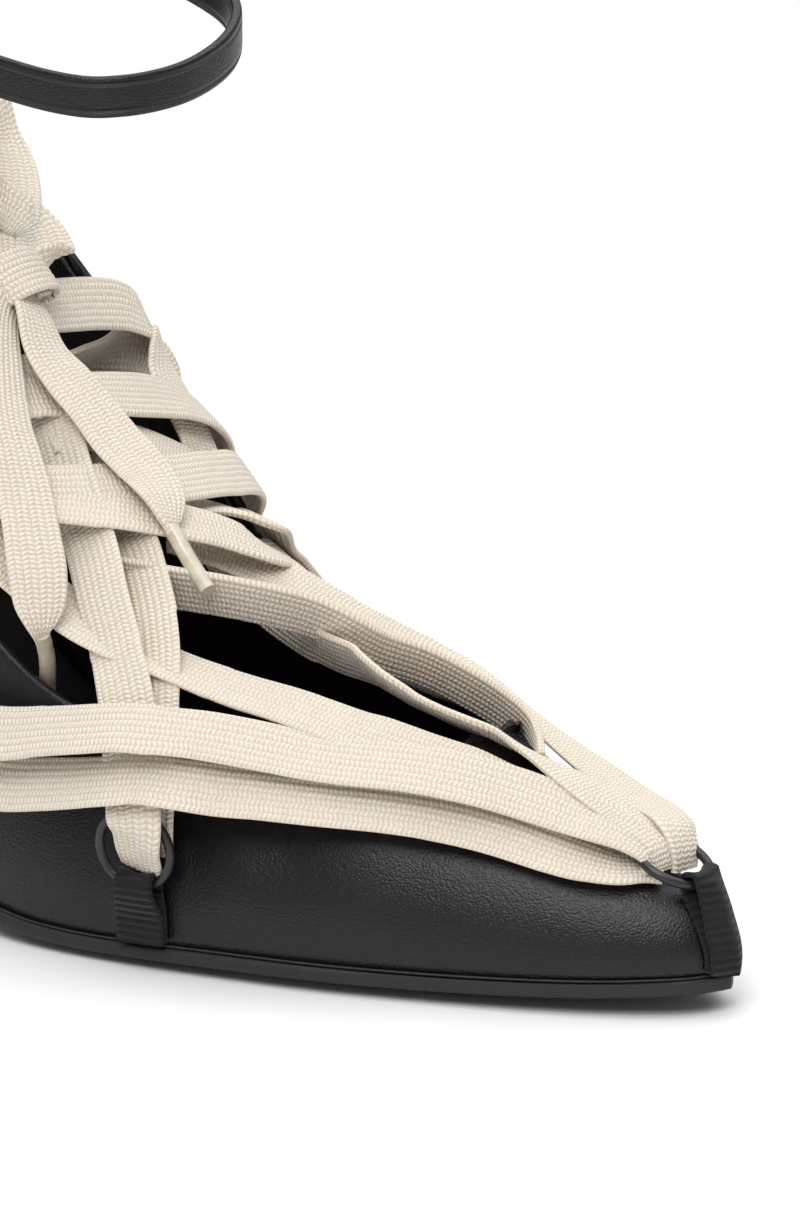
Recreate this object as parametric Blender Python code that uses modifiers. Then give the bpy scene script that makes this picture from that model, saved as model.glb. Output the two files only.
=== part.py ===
"""Lace up heel, right shoe: pointed toe, open instep, slim high heel, ankle strap and flat laces.

The frame: +X runs to the toe, +Y to the inner (medial) side of the foot, +Z up. The origin is the
middle of the heel tip where it stands on the floor. Tables are in millimetres.
"""
import bmesh
import bpy
import math
from mathutils import Matrix, Vector
from mathutils.bvhtree import BVHTree

MM = 0.001

# Driving sizes, in millimetres.
SOLE_THICK = 2.3
SOLE_EDGE_OUT = 0.9
SOLE_FLAT_SHARE = 0.4
PIECE_GAP = 0.3
UPPER_WALL = 1.6
INSOLE_THICK = 2.0
INSOLE_INSET = 2.4
HEEL_TIP_HEIGHT = 6.0
ROW_STEPS = 2
WALL_STEPS = 6
SOLE_ACROSS = 6

# The sole's underside, a row for each station from the toe back:
# (x, z along the middle, z along the edge)
SOLE_PROFILE = [
    (214.0, 3.9, 3.9),
    (206.0, 3.2, 3.5),
    (199.0, 2.4, 3.1),
    (189.0, 1.3, 2.7),
    (174.0, 0.35, 2.3),
    (159.0, 0.0, 2.1),
    (144.0, 0.0, 2.0),
    (129.0, 0.0, 1.8),
    (114.0, 0.0, 1.6),
    (102.0, 0.9, 2.3),
    (90.0, 4.8, 5.4),
    (78.0, 12.6, 12.9),
    (66.0, 24.0, 24.0),
    (54.0, 37.0, 37.0),
    (42.0, 50.5, 50.5),
    (30.0, 64.0, 64.0),
    (18.0, 76.5, 76.5),
    (6.0, 87.0, 87.0),
    (-6.0, 94.3, 94.3),
    (-16.0, 98.3, 98.3),
    (-26.0, 100.6, 100.6),
]

# The upper's walls, a row for each line that runs from the sole up to the top line:
# (foot x, foot y, top x, top y, top z, how far the wall turns over, belly)
LATERAL_WALLS = [
    (213.4, 0.0, 205.0, 0.0, 18.6, 1.0, 2.2),
    (210.6, 5.0, 202.0, 0.0, 20.4, 1.0, 1.8),
    (205.6, 9.2, 198.0, 0.0, 22.6, 1.0, 1.2),
    (198.5, 13.5, 192.0, 0.0, 26.0, 1.0, 0.9),
    (188.5, 18.2, 185.0, 0.0, 30.0, 1.0, 0.8),
    (178.0, 22.4, 177.5, 0.0, 34.2, 1.0, 0.8),
    (168.0, 26.0, 171.0, 0.0, 37.6, 1.0, 0.8),
    (161.5, 28.2, 170.6, 5.2, 37.5, 0.95, 0.8),
    (155.0, 30.1, 168.0, 9.6, 37.1, 0.86, 0.8),
    (147.5, 32.0, 161.5, 12.8, 36.4, 0.76, 0.8),
    (139.0, 33.8, 151.5, 16.2, 35.6, 0.66, 0.8),
    (129.0, 35.8, 138.0, 21.8, 34.8, 0.5, 0.8),
    (117.0, 37.3, 124.0, 27.5, 35.2, 0.4, 0.9),
    (106.0, 37.8, 110.0, 31.0, 39.0, 0.2, 1.0),
    (95.0, 37.0, 98.0, 30.8, 44.5, 0.1, 1.0),
    (82.0, 34.0, 84.0, 30.0, 56.0, 0.0, 1.2),
    (66.0, 28.8, 67.0, 28.4, 76.0, 0.0, 1.6),
    (50.0, 24.8, 51.0, 26.2, 98.0, 0.0, 2.4),
    (34.0, 23.4, 34.0, 23.6, 119.0, 0.0, 2.8),
    (16.0, 24.7, 16.0, 21.5, 137.0, 0.0, 2.4),
    (0.0, 25.4, -2.0, 18.0, 150.5, 0.0, 2.0),
    (-13.0, 21.8, -13.5, 11.8, 157.0, 0.0, 2.0),
    (-21.0, 12.6, -19.6, 5.8, 159.6, 0.0, 2.0),
    (-23.6, 0.0, -21.4, 0.0, 160.2, 0.0, 2.0),
]
MEDIAL_WALLS = [
    (213.4, 0.0, 205.0, 0.0, 18.6, 1.0, 2.2),
    (210.6, 4.6, 202.0, 0.0, 20.4, 1.0, 1.8),
    (205.6, 8.2, 198.0, 0.0, 22.6, 1.0, 1.2),
    (198.5, 11.8, 192.0, 0.0, 26.0, 1.0, 0.9),
    (188.5, 16.4, 185.0, 0.0, 30.0, 1.0, 0.8),
    (178.0, 20.8, 177.5, 0.0, 34.2, 1.0, 0.8),
    (168.0, 24.8, 171.0, 0.0, 37.6, 1.0, 0.8),
    (161.5, 27.3, 170.6, 5.2, 37.7, 0.95, 0.8),
    (155.0, 29.6, 168.0, 9.6, 37.5, 0.86, 0.8),
    (147.5, 32.0, 161.5, 12.6, 37.0, 0.76, 0.8),
    (139.0, 34.3, 152.5, 15.8, 36.5, 0.66, 0.8),
    (129.0, 36.2, 140.5, 20.4, 36.3, 0.5, 0.8),
    (117.0, 36.6, 127.0, 26.6, 37.0, 0.4, 0.9),
    (106.0, 35.0, 115.0, 31.0, 39.4, 0.2, 1.2),
    (95.0, 32.0, 103.0, 32.8, 49.0, 0.1, 1.6),
    (82.0, 27.6, 88.0, 32.0, 68.0, 0.0, 2.4),
    (66.0, 23.2, 71.0, 30.2, 87.5, 0.0, 3.0),
    (50.0, 21.0, 54.0, 26.2, 109.0, 0.0, 3.2),
    (34.0, 21.2, 36.0, 23.2, 129.0, 0.0, 3.2),
    (16.0, 23.4, 16.0, 21.2, 143.6, 0.0, 2.6),
    (0.0, 24.8, -2.0, 17.6, 153.8, 0.0, 2.0),
    (-13.0, 21.6, -13.5, 11.6, 158.6, 0.0, 2.0),
    (-21.0, 12.4, -19.6, 5.6, 159.9, 0.0, 2.0),
    (-23.6, 0.0, -21.4, 0.0, 160.2, 0.0, 2.0),
]

# The wall's curve, as shares of its rise and of its way inwards.
LOW_HANDLE_RISE = 0.42
LOW_HANDLE_FORWARD = 0.15
LOW_HANDLE_SWELL = 0.06
HIGH_HANDLE_INWARD = 0.52
HIGH_HANDLE_BELLY = 0.6
HIGH_HANDLE_DROP = 0.30
HIGH_HANDLE_DROP_TURNED = 0.05
NORMAL_STEP = 0.02
NORMAL_ROWS = 0.2

# The heel, a row for each ring from the tip up:
# (front x, front z, back x, back z, half width)
HEEL_RINGS = [
    (5.2, 6.3, -5.2, 6.3, 4.7),
    (5.0, 20.0, -6.0, 20.0, 4.7),
    (5.6, 36.0, -7.8, 40.0, 4.9),
    (7.8, 48.0, -11.0, 58.0, 6.2),
    (11.8, 56.5, -15.6, 72.0, 9.6),
    (17.4, 62.0, -19.8, 84.5, 15.2),
    (22.6, 65.6, -22.6, 94.0, 20.6),
]
HEEL_SEAT_FRONT = 25.5
HEEL_SEAT_BACK = -23.4
HEEL_SEAT_HALF = 23.4
HEEL_SIDES = 20
HEEL_FRONT_POWER = 0.75
# The heel tip's rings: (height, how far it stands out past the heel)
HEEL_TIP_RINGS = [(0.0, -0.3), (0.5, 0.15), (HEEL_TIP_HEIGHT, 0.15)]

# Ribbon tabs and their wire rings.
RIBBON_WIDE = 8.2
RIBBON_THICK = 0.8
RIBBON_BACK_LIFT = 0.85
RIBBON_FRONT_LIFT = 2.0
RIBBON_NECK_SHARE = 0.8
RING_WIRE = 1.5
RING_RADIUS = 6.3
RING_SEGMENTS = 20
RING_SIDES = 6
RIBBON_LOOP = RING_WIRE / 2.0 + RIBBON_THICK / 2.0 + 0.55
RING_WIRE_LIFT = RIBBON_BACK_LIFT + RIBBON_LOOP
TAB_NECK = 1.6
TAB_START = 0.6
TAB_STEPS = 5
TOE_TAB_SHARE = 0.70
SIDE_TAB_LONG = 8.4
TOE_TAB_FOOT = 0.02
# Steps of the ribbon's fold round the wire, half a turn in all.
FOLD_STEPS = 5
# Where a ray towards the wall starts, and the longest way that it may go.
RAY_START = 12.0
RAY_REACH = 18.0

# Each tab: its side, its row of the wall table, how many spots across, and the ring's lean in degrees
TAB_PLACES = {
    "toe": ("lateral", 0.0, 7, -11.0),
    "lateral": ("lateral", 11.05, 4, 0.0),
    "medial": ("medial", 12.4, 4, 0.0),
    "lateral_rear": ("lateral", 15.7, 4, 0.0),
    "medial_rear": ("medial", 15.7, 4, 0.0),
}

# The middle of the foot, which the laces lie round: (x, y, z)
CORE_LINE = [
    (204.0, 0.0, 8.0),
    (169.0, 0.0, 12.0),
    (144.0, 0.0, 14.0),
    (124.0, 0.0, 18.0),
    (104.0, 0.0, 27.0),
    (84.0, 0.0, 42.0),
    (64.0, 0.0, 60.0),
    (44.0, 0.0, 82.0),
]

# Flat laces over the vamp and instep, from the front end back: (x, y, z, width, roll)
LACE_THICK = 1.2
CROSSING_ROUTES = {
    "low_outer": [
        (193.0, -7.5, 25.0, 5.0, 0.0),
        (187.0, -12.0, 27.0, 6.0, 0.0),
        (170.0, -21.0, 30.5, 7.0, 0.0),
        (152.0, -27.0, 31.5, 9.0, 0.0),
        (137.0, -32.0, 31.5, 10.0, 0.0),
        (121.0, -37.5, 30.5, 10.0, 0.0),
        (99.0, -39.5, 27.0, 10.0, 0.0),
        (91.5, -39.5, 28.2, 9.0, 0.0),
    ],
    "high_outer": [
        (193.0, -4.0, 27.0, 5.0, 0.0),
        (186.0, -10.5, 29.5, 6.0, 0.0),
        (174.0, -17.0, 33.5, 7.0, 0.0),
        (158.0, -22.5, 37.0, 8.0, 0.0),
        (144.0, -27.0, 39.0, 10.0, 0.0),
        (127.0, -33.0, 39.0, 10.0, 0.0),
        (110.0, -37.0, 37.0, 10.0, 0.0),
        (98.0, -38.5, 34.0, 10.0, 0.0),
        (91.5, -38.8, 32.5, 9.0, 0.0),
    ],
    "under_pair": [
        (194.0, 1.0, 26.5, 5.0, 0.0),
        (185.0, -4.0, 31.0, 6.0, 0.0),
        (169.0, -13.0, 38.0, 7.0, 0.0),
        (153.0, -16.5, 41.0, 8.0, 0.0),
        (134.0, -23.0, 45.0, 9.0, 0.0),
        (118.0, -25.0, 51.0, 10.0, 0.0),
        (103.0, -26.5, 57.0, 10.0, 0.0),
        (93.0, -28.0, 62.0, 10.0, 0.0),
        (85.0, -25.0, 71.0, 9.0, 0.0),
        (82.0, -18.0, 80.0, 8.0, 0.0),
    ],
    "inner_low": [
        (194.0, 4.0, 26.0, 5.0, 0.0),
        (185.0, 4.0, 31.0, 6.0, 0.0),
        (172.0, -0.5, 40.0, 7.0, 0.0),
        (158.0, -5.5, 45.0, 7.0, 0.0),
        (145.0, -7.5, 49.0, 7.0, 0.0),
        (135.0, -8.5, 53.0, 7.0, 0.0),
        (120.0, -7.0, 59.0, 7.0, 0.0),
    ],
    "inner_middle": [
        (166.0, 10.0, 42.5, 6.0, 0.0),
        (158.0, 7.0, 45.0, 7.0, 0.0),
        (148.0, 4.0, 48.0, 7.0, 0.0),
        (137.0, -1.5, 52.5, 7.0, 0.0),
        (122.0, -12.0, 57.0, 7.0, 0.0),
        (111.0, -22.0, 56.0, 7.0, 0.0),
    ],
    "inner_high": [
        (194.0, 7.5, 25.0, 5.0, 0.0),
        (188.0, 12.0, 27.0, 7.0, 0.0),
        (176.0, 13.0, 36.0, 8.0, 0.0),
        (168.0, 9.5, 41.5, 7.0, 0.0),
        (154.0, 7.0, 46.5, 7.0, 0.0),
        (136.0, 3.0, 53.5, 8.0, 0.0),
        (124.0, -1.0, 58.5, 8.0, 0.0),
        (115.0, -6.0, 62.0, 8.0, 0.0),
    ],
    "side_pair_front": [
        (128.5, -39.0, 27.5, 8.0, 0.0),
        (127.5, -36.0, 36.0, 9.0, 0.0),
        (126.0, -30.5, 43.0, 10.0, 0.0),
        (119.0, -22.0, 56.0, 10.0, 0.0),
        (107.0, -13.5, 66.5, 10.0, 0.0),
    ],
    "side_pair_rear": [
        (125.0, -39.2, 27.5, 7.0, 0.0),
        (122.0, -36.5, 35.0, 9.0, 0.0),
        (117.0, -30.0, 49.0, 10.0, 0.0),
        (108.0, -22.5, 61.5, 10.0, 0.0),
        (102.0, -17.0, 67.5, 10.0, 0.0),
    ],
    "over_front": [
        (111.0, 41.5, 27.0, 7.0, 0.0),
        (113.5, 38.0, 38.0, 9.0, 0.0),
        (119.0, 29.0, 49.5, 9.0, 0.0),
        (123.0, 17.0, 56.5, 9.0, 0.0),
        (117.0, 5.0, 62.0, 9.0, 0.0),
        (104.0, -13.0, 67.0, 9.0, 0.0),
        (92.0, -24.5, 69.0, 9.0, 0.0),
    ],
    "over_front_twin": [
        (119.0, 26.0, 52.0, 8.0, 0.0),
        (115.0, 21.5, 57.5, 8.0, 0.0),
        (105.0, 21.5, 63.5, 8.0, 0.0),
    ],
    "over_second": [
        (84.0, 37.5, 42.0, 8.0, 0.0),
        (91.0, 36.5, 53.0, 9.0, 0.0),
        (99.0, 31.0, 62.5, 9.0, 0.0),
        (104.5, 19.0, 67.5, 9.0, 0.0),
        (105.0, 8.0, 69.0, 9.0, 0.0),
        (105.0, -9.0, 68.5, 9.0, 0.0),
        (100.0, -20.0, 67.0, 9.0, 0.0),
    ],
    "over_third": [
        (79.0, 37.0, 43.0, 8.0, 0.0),
        (86.0, 36.5, 56.0, 9.0, 0.0),
        (92.0, 32.0, 68.0, 9.0, 0.0),
        (94.5, 22.0, 76.0, 9.0, 0.0),
        (91.0, 8.0, 81.0, 9.0, 0.0),
        (86.0, -9.0, 83.0, 9.0, 0.0),
        (82.0, -20.0, 80.5, 8.0, 0.0),
    ],
    "over_top": [
        (75.0, 36.0, 47.0, 8.0, 0.0),
        (78.0, 37.0, 58.0, 9.0, 0.0),
        (82.0, 35.0, 74.0, 9.0, 0.0),
        (83.0, 28.0, 85.0, 9.0, 0.0),
        (80.0, 18.0, 91.5, 9.0, 0.0),
        (78.0, 9.0, 93.5, 9.0, 0.0),
    ],
    "over_top_return": [
        (83.0, 24.0, 86.5, 8.0, 0.0),
        (82.0, 10.0, 88.0, 8.0, 0.0),
        (82.5, -6.0, 86.5, 8.0, 0.0),
        (81.5, -18.0, 80.5, 8.0, 0.0),
    ],
}

# The knot, the bow's loops, the loose ends and their plastic ends.
KNOT_AT = (76.5, -2.5, 98.5)
KNOT_HALF = (5.5, 6.5, 4.0)
AGLET_RADIUS = 1.5
AGLET_SIDES = 10
LOOSE_ROUTES = {
    "bow_loop_inner": [
        (75.0, 6.0, 101.0, 9.0, 0.0),
        (72.0, 14.0, 108.0, 9.5, 0.0),
        (68.0, 18.0, 117.0, 10.0, 0.0),
        (62.0, 14.0, 120.5, 10.0, 0.0),
        (64.0, 6.0, 115.0, 9.0, 0.0),
        (70.0, 1.0, 106.5, 8.0, 0.0),
    ],
    "bow_loop_outer": [
        (76.0, -11.0, 98.0, 9.0, 0.0),
        (74.0, -19.0, 103.0, 9.5, 0.0),
        (69.0, -26.0, 108.0, 10.0, 0.0),
        (63.0, -23.0, 113.0, 10.0, 0.0),
        (65.0, -13.0, 111.0, 9.0, 0.0),
        (70.0, -6.0, 106.0, 8.0, 0.0),
    ],
    "lace_end_long": [
        (81.4, -4.9, 94.9, 8.5, -20.0),
        (85.8, -7.0, 89.4, 9.6, -12.0),
        (91.2, -7.9, 85.2, 9.6, 0.0),
        (96.3, -8.0, 81.0, 9.6, 0.0),
        (101.2, -8.3, 76.8, 9.6, 4.0),
        (108.6, -8.9, 71.8, 9.4, 0.0),
        (112.4, -10.5, 69.4, 8.6, -8.0),
        (115.3, -12.6, 66.4, 4.0, -20.0),
    ],
    "lace_end_short": [
        (80.6, -11.4, 94.6, 8.5, -34.0),
        (85.4, -17.4, 87.6, 9.6, -32.0),
        (90.4, -22.4, 81.2, 9.6, -32.0),
        (94.2, -24.8, 76.4, 9.6, -30.0),
        (97.6, -27.0, 71.4, 9.6, -26.0),
        (101.3, -29.8, 65.7, 9.6, -24.0),
        (104.4, -32.2, 60.0, 9.6, -24.0),
        (106.0, -33.7, 55.1, 8.8, -30.0),
        (106.4, -34.2, 51.8, 5.0, -40.0),
    ],
}
AGLET_ROUTES = {
    "aglet_long": [(116.1, -13.1, 65.2), (120.4, -14.0, 60.8), (125.2, -15.2, 56.7)],
    "aglet_short": [(106.0, -33.5, 50.7), (103.4, -29.0, 45.0), (99.9, -25.0, 37.0)],
}

# The ankle strap's middle line, round the back of the counter and forward: (x, y, z)
STRAP_WIDE = 6.5
STRAP_THICK = 1.8
STRAP_ROUTE = [
    (-25.6, 0.0, 151.5),
    (-21.0, -11.0, 151.5),
    (-10.0, -19.2, 151.0),
    (6.0, -21.6, 150.0),
    (30.0, -22.4, 147.5),
    (60.0, -22.8, 142.0),
    (89.0, -22.0, 136.2),
    (103.0, -20.5, 134.2),
    (110.0, -16.5, 134.2),
    (113.5, -8.5, 135.0),
    (114.0, 0.0, 136.6),
    (112.5, 8.0, 139.0),
    (108.5, 14.5, 142.0),
    (101.0, 18.5, 145.2),
    (86.0, 20.5, 149.0),
    (60.0, 21.5, 152.0),
    (30.0, 21.8, 152.6),
    (6.0, 21.2, 152.0),
    (-10.0, 19.0, 151.8),
    (-21.0, 11.0, 151.5),
]
STRAP_STEPS = 3
BUCKLE_ROW = 3
BUCKLE_SHARE = 0.5
BUCKLE_BAR = 1.6
BUCKLE_LONG = 11.0
BUCKLE_WIDE = 12.0
KEEPER_SHARE = 0.08
KEEPER_THICK = 0.8
KEEPER_LONG = 4.0


def clear_scene():
    """Start from an empty scene, with one collection for the shoe."""
    for old in list(bpy.data.objects):
        bpy.data.objects.remove(old, do_unlink=True)
    made = bpy.data.collections.new("lace_up_heel")
    bpy.context.scene.collection.children.link(made)
    return made


SHOE = clear_scene()


def make_material(name, colour, roughness, metallic=0.0):
    """A plain Principled finish."""
    material = bpy.data.materials.new(name)
    material.use_nodes = True
    shader = material.node_tree.nodes["Principled BSDF"]
    shader.inputs["Base Color"].default_value = (*colour, 1.0)
    shader.inputs["Roughness"].default_value = roughness
    shader.inputs["Metallic"].default_value = metallic
    return material


BLACK_LEATHER = make_material("black_leather", (0.012, 0.013, 0.015), 0.45)
SOLE_BLACK = make_material("sole_black", (0.03, 0.03, 0.033), 0.55)
INSOLE_BLACK = make_material("insole_black", (0.01, 0.01, 0.01), 0.6)
TIP_BLACK = make_material("heel_tip_black", (0.02, 0.02, 0.02), 0.5)
RIBBON_BLACK = make_material("ribbon_black", (0.012, 0.012, 0.013), 0.8)
RING_BLACK = make_material("ring_black", (0.02, 0.02, 0.022), 0.4)
METAL_BLACK = make_material("buckle_black", (0.02, 0.02, 0.022), 0.35)
LACE_CREAM = make_material("lace_cream", (0.78, 0.74, 0.66), 0.85)
AGLET_CREAM = make_material("aglet_cream", (0.78, 0.72, 0.6), 0.35)


def add_object(name, mesh, material, smooth=True):
    """Put a finished mesh into the shoe's collection under its node name."""
    mesh.materials.append(material)
    if smooth:
        mesh.shade_smooth()
        mesh.set_sharp_from_angle(angle=math.radians(40))
    made = bpy.data.objects.new(name, mesh)
    SHOE.objects.link(made)
    return made


def spline(rows, steps):
    """A smooth run through the rows of a table, with the given steps between two rows."""
    out = []
    last = len(rows) - 1
    for i in range(last):
        before = rows[max(i - 1, 0)]
        after = rows[min(i + 2, last)]
        for k in range(steps):
            t = k / steps
            out.append(tuple(
                0.5 * (2 * b + (c - a) * t + (2 * a - 5 * b + 4 * c - d) * t * t
                       + (3 * b - a - 3 * c + d) * t ** 3)
                for a, b, c, d in zip(before, rows[i], rows[i + 1], after)
            ))
    out.append(tuple(rows[last]))
    return out


SOLE_CURVE = spline(SOLE_PROFILE, 4)


def sole_under(x, edge=1.0):
    """Height of the sole's underside at x; edge is 0 along the middle and 1 at the rim."""
    for ahead, behind in zip(SOLE_CURVE, SOLE_CURVE[1:]):
        if x >= behind[0]:
            t = (ahead[0] - x) / (ahead[0] - behind[0])
            middle = ahead[1] + (behind[1] - ahead[1]) * t
            rim = ahead[2] + (behind[2] - ahead[2]) * t
            curl = max(0.0, (edge - SOLE_FLAT_SHARE) / (1.0 - SOLE_FLAT_SHARE)) ** 2
            return max(0.0, middle + (rim - middle) * curl)
    return SOLE_CURVE[-1][1]


def feather_height(x):
    """Height of the upper's lower edge, a gap above the sole's rim."""
    return sole_under(x) + SOLE_THICK + PIECE_GAP


def plan_normals(points):
    """Directions that point out of a plan outline at each of its points, in the XY plane."""
    out = []
    last = len(points) - 1
    for i in range(last + 1):
        ahead = points[max(i - 1, 0)]
        behind = points[min(i + 1, last)]
        along = Vector((behind[0] - ahead[0], behind[1] - ahead[1], 0.0))
        out.append(Vector((along.y, -along.x, 0.0)).normalized())
    return out


class Side:
    """One side of the upper: its wall lines from the toe tip to the back seam."""

    def __init__(self, rows, sign):
        self.sign = sign
        # The run must not swing past the middle of the shoe where the toe box closes.
        self.rows = [(r[0], r[1], r[2], max(r[3], 0.0), *r[4:]) for r in spline(rows, ROW_STEPS)]
        foot = [(r[0], r[1]) for r in self.rows]
        self.out = plan_normals(foot)
        self.out[0] = Vector((1.0, 0.0, 0.0))
        self.out[-1] = Vector((-1.0, 0.0, 0.0))

    def count(self):
        """How many wall lines the side has."""
        return len(self.rows)

    def point(self, row, t):
        """A point on the outer face: row along the side, t from 0 at the sole to 1 at the top."""
        low = int(min(max(math.floor(row), 0), self.count() - 2))
        share = row - low
        a = self.line_point(low, t)
        if share < 1e-9:
            return a
        return a.lerp(self.line_point(low + 1, t), share)

    def line_point(self, i, t):
        """A point on one wall line, a cubic with a handle at the sole and one at the top."""
        foot_x, foot_y, top_x, top_y, top_z, turned, belly = self.rows[i]
        foot = Vector((foot_x, foot_y, feather_height(foot_x)))
        top = Vector((top_x, top_y, top_z))
        out = self.out[i]
        rise = top.z - foot.z
        low = foot + out * (belly + LOW_HANDLE_SWELL * rise * turned)
        low.z += rise * LOW_HANDLE_RISE
        low.x += (top.x - foot.x) * LOW_HANDLE_FORWARD
        across = (foot - top)
        across.z = 0.0
        high = top + across * (HIGH_HANDLE_INWARD * turned)
        high += out * (belly * HIGH_HANDLE_BELLY * (1.0 - turned))
        high.z -= rise * (HIGH_HANDLE_DROP * (1.0 - turned) + HIGH_HANDLE_DROP_TURNED * turned)
        s = 1.0 - t
        p = foot * s ** 3 + low * (3 * s * s * t) + high * (3 * s * t * t) + top * t ** 3
        return Vector((p.x, p.y * self.sign, p.z))

    def normal(self, row, t):
        """The outward direction of the outer face."""
        ahead = self.point(min(row + NORMAL_ROWS, self.count() - 1), t)
        along = ahead - self.point(max(row - NORMAL_ROWS, 0), t)
        up = self.point(row, min(t + NORMAL_STEP, 1.0)) - self.point(row, max(t - NORMAL_STEP, 0.0))
        return (along.cross(up) * self.sign).normalized()


LATERAL = Side(LATERAL_WALLS, -1.0)
MEDIAL = Side(MEDIAL_WALLS, 1.0)


def grid_mesh(name, columns):
    """A sheet of quads over columns of points, doubles merged."""
    made = bmesh.new()
    grid = [[made.verts.new(Vector(p) * MM) for p in column] for column in columns]
    for left, right in zip(grid, grid[1:]):
        for k in range(len(left) - 1):
            made.faces.new((left[k], right[k], right[k + 1], left[k + 1]))
    bmesh.ops.remove_doubles(made, verts=made.verts, dist=0.00002)
    bmesh.ops.dissolve_degenerate(made, edges=made.edges, dist=0.000005)
    bmesh.ops.recalc_face_normals(made, faces=made.faces)
    mesh = bpy.data.meshes.new(name)
    made.to_mesh(mesh)
    made.free()
    return mesh


def tube_mesh(name, rings, cap_ends):
    """A closed body lofted over rings with the same number of points."""
    made = bmesh.new()
    loops = [[made.verts.new(Vector(p) * MM) for p in ring] for ring in rings]
    size = len(loops[0])
    for low, high in zip(loops, loops[1:]):
        for k in range(size):
            j = (k + 1) % size
            made.faces.new((low[k], low[j], high[j], high[k]))
    if cap_ends:
        made.faces.new(list(reversed(loops[0])))
        made.faces.new(loops[-1])
    bmesh.ops.remove_doubles(made, verts=made.verts, dist=0.00002)
    bmesh.ops.dissolve_degenerate(made, edges=made.edges, dist=0.000005)
    bmesh.ops.recalc_face_normals(made, faces=made.faces)
    mesh = bpy.data.meshes.new(name)
    made.to_mesh(mesh)
    made.free()
    return mesh


def build_upper():
    """One hollow leather wall: toe box, both quarters and the back, open at throat and collar."""
    steps = [k / WALL_STEPS for k in range(WALL_STEPS + 1)]
    columns = [[LATERAL.line_point(i, t) for t in steps] for i in range(LATERAL.count())]
    columns += [[MEDIAL.line_point(i, t) for t in steps]
                for i in reversed(range(MEDIAL.count() - 1))]
    mesh = grid_mesh("upper", columns)
    upper = add_object("upper", mesh, BLACK_LEATHER)
    wall = upper.modifiers.new("wall", "SOLIDIFY")
    wall.thickness = UPPER_WALL * MM
    wall.offset = -1.0
    wall.use_rim = True
    return upper


def plate_rings(grow, under_lift, thick, first, last):
    """Rings of a plate that follows the sole, each ring across the shoe at one wall line."""
    rings = []
    for i in range(first, last):
        lateral = LATERAL.rows[i]
        medial = MEDIAL.rows[i]
        left = Vector((lateral[0], -lateral[1], 0.0)) + Vector(
            (LATERAL.out[i].x, -LATERAL.out[i].y, 0.0)) * grow
        right = Vector((medial[0], medial[1], 0.0)) + MEDIAL.out[i] * grow
        lower = []
        for k in range(SOLE_ACROSS + 1):
            share = k / SOLE_ACROSS
            p = left.lerp(right, share)
            p.z = sole_under(p.x, abs(2.0 * share - 1.0)) + under_lift
            lower.append(p)
        upper_run = [p + Vector((0.0, 0.0, thick)) for p in reversed(lower)]
        rings.append(lower + upper_run)
    return rings


def build_outsole():
    """The thin leather sole, with its edge a little proud of the upper."""
    rings = plate_rings(SOLE_EDGE_OUT, 0.0, SOLE_THICK, 0, LATERAL.count())
    return add_object("outsole", tube_mesh("outsole", rings, False), SOLE_BLACK)


def build_insole():
    """The lining board and sock that lie on the sole inside the walls."""
    rings = plate_rings(-INSOLE_INSET, SOLE_THICK + PIECE_GAP, INSOLE_THICK, 2, LATERAL.count() - 1)
    return add_object("insole", tube_mesh("insole", rings, True), INSOLE_BLACK)


def rounded_ring(front, back, half, front_z, back_z):
    """A ring with a round back and a flatter front, level or sloped."""
    ring = []
    for k in range(HEEL_SIDES):
        turn = 2.0 * math.pi * k / HEEL_SIDES
        along = math.cos(turn)
        power = HEEL_FRONT_POWER if along > 0 else 1.0
        share = 0.5 + 0.5 * math.copysign(abs(along) ** power, along)
        x = back + (front - back) * share
        z = back_z + (front_z - back_z) * share
        ring.append(Vector((x, half * math.sin(turn), z)))
    return ring


def build_heel():
    """The covered slim heel, from its tip up to the seat under the sole."""
    rings = [rounded_ring(r[0], r[2], r[4], r[1], r[3]) for r in HEEL_RINGS]
    seat = rounded_ring(HEEL_SEAT_FRONT, HEEL_SEAT_BACK, HEEL_SEAT_HALF, 0.0, 0.0)
    for p in seat:
        p.z = sole_under(p.x, 0.0) - PIECE_GAP
    rings.append(seat)
    return add_object("heel", tube_mesh("heel", rings, True), BLACK_LEATHER)


def build_heel_tip():
    """The hard top piece that the heel stands on."""
    first = HEEL_RINGS[0]
    rings = []
    for z, grow in HEEL_TIP_RINGS:
        rings.append(rounded_ring(first[0] + grow, first[2] - grow, first[4] + grow, z, z))
    return add_object("heel_tip", tube_mesh("heel_tip", rings, True), TIP_BLACK)


def outer_tree():
    """The outer face of the upper, for setting tabs and rings on it."""
    steps = [k / WALL_STEPS for k in range(WALL_STEPS + 1)]
    points = []
    faces = []
    for side in (LATERAL, MEDIAL):
        start = len(points)
        for i in range(side.count()):
            points += [side.line_point(i, t) for t in steps]
        wide = WALL_STEPS + 1
        for i in range(side.count() - 1):
            for k in range(WALL_STEPS):
                a = start + i * wide + k
                faces.append((a, a + 1, a + wide + 1, a + wide))
    return BVHTree.FromPolygons(points, faces)


OUTER = outer_tree()


def on_wall(point, out, lift):
    """The place straight in from point on the upper's outer face, lifted off it again."""
    hit = OUTER.ray_cast(point + out * RAY_START, -out)
    if hit[0] is None or hit[3] > RAY_REACH:
        hit = OUTER.find_nearest(point)
    return hit[0] + out * lift


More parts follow.
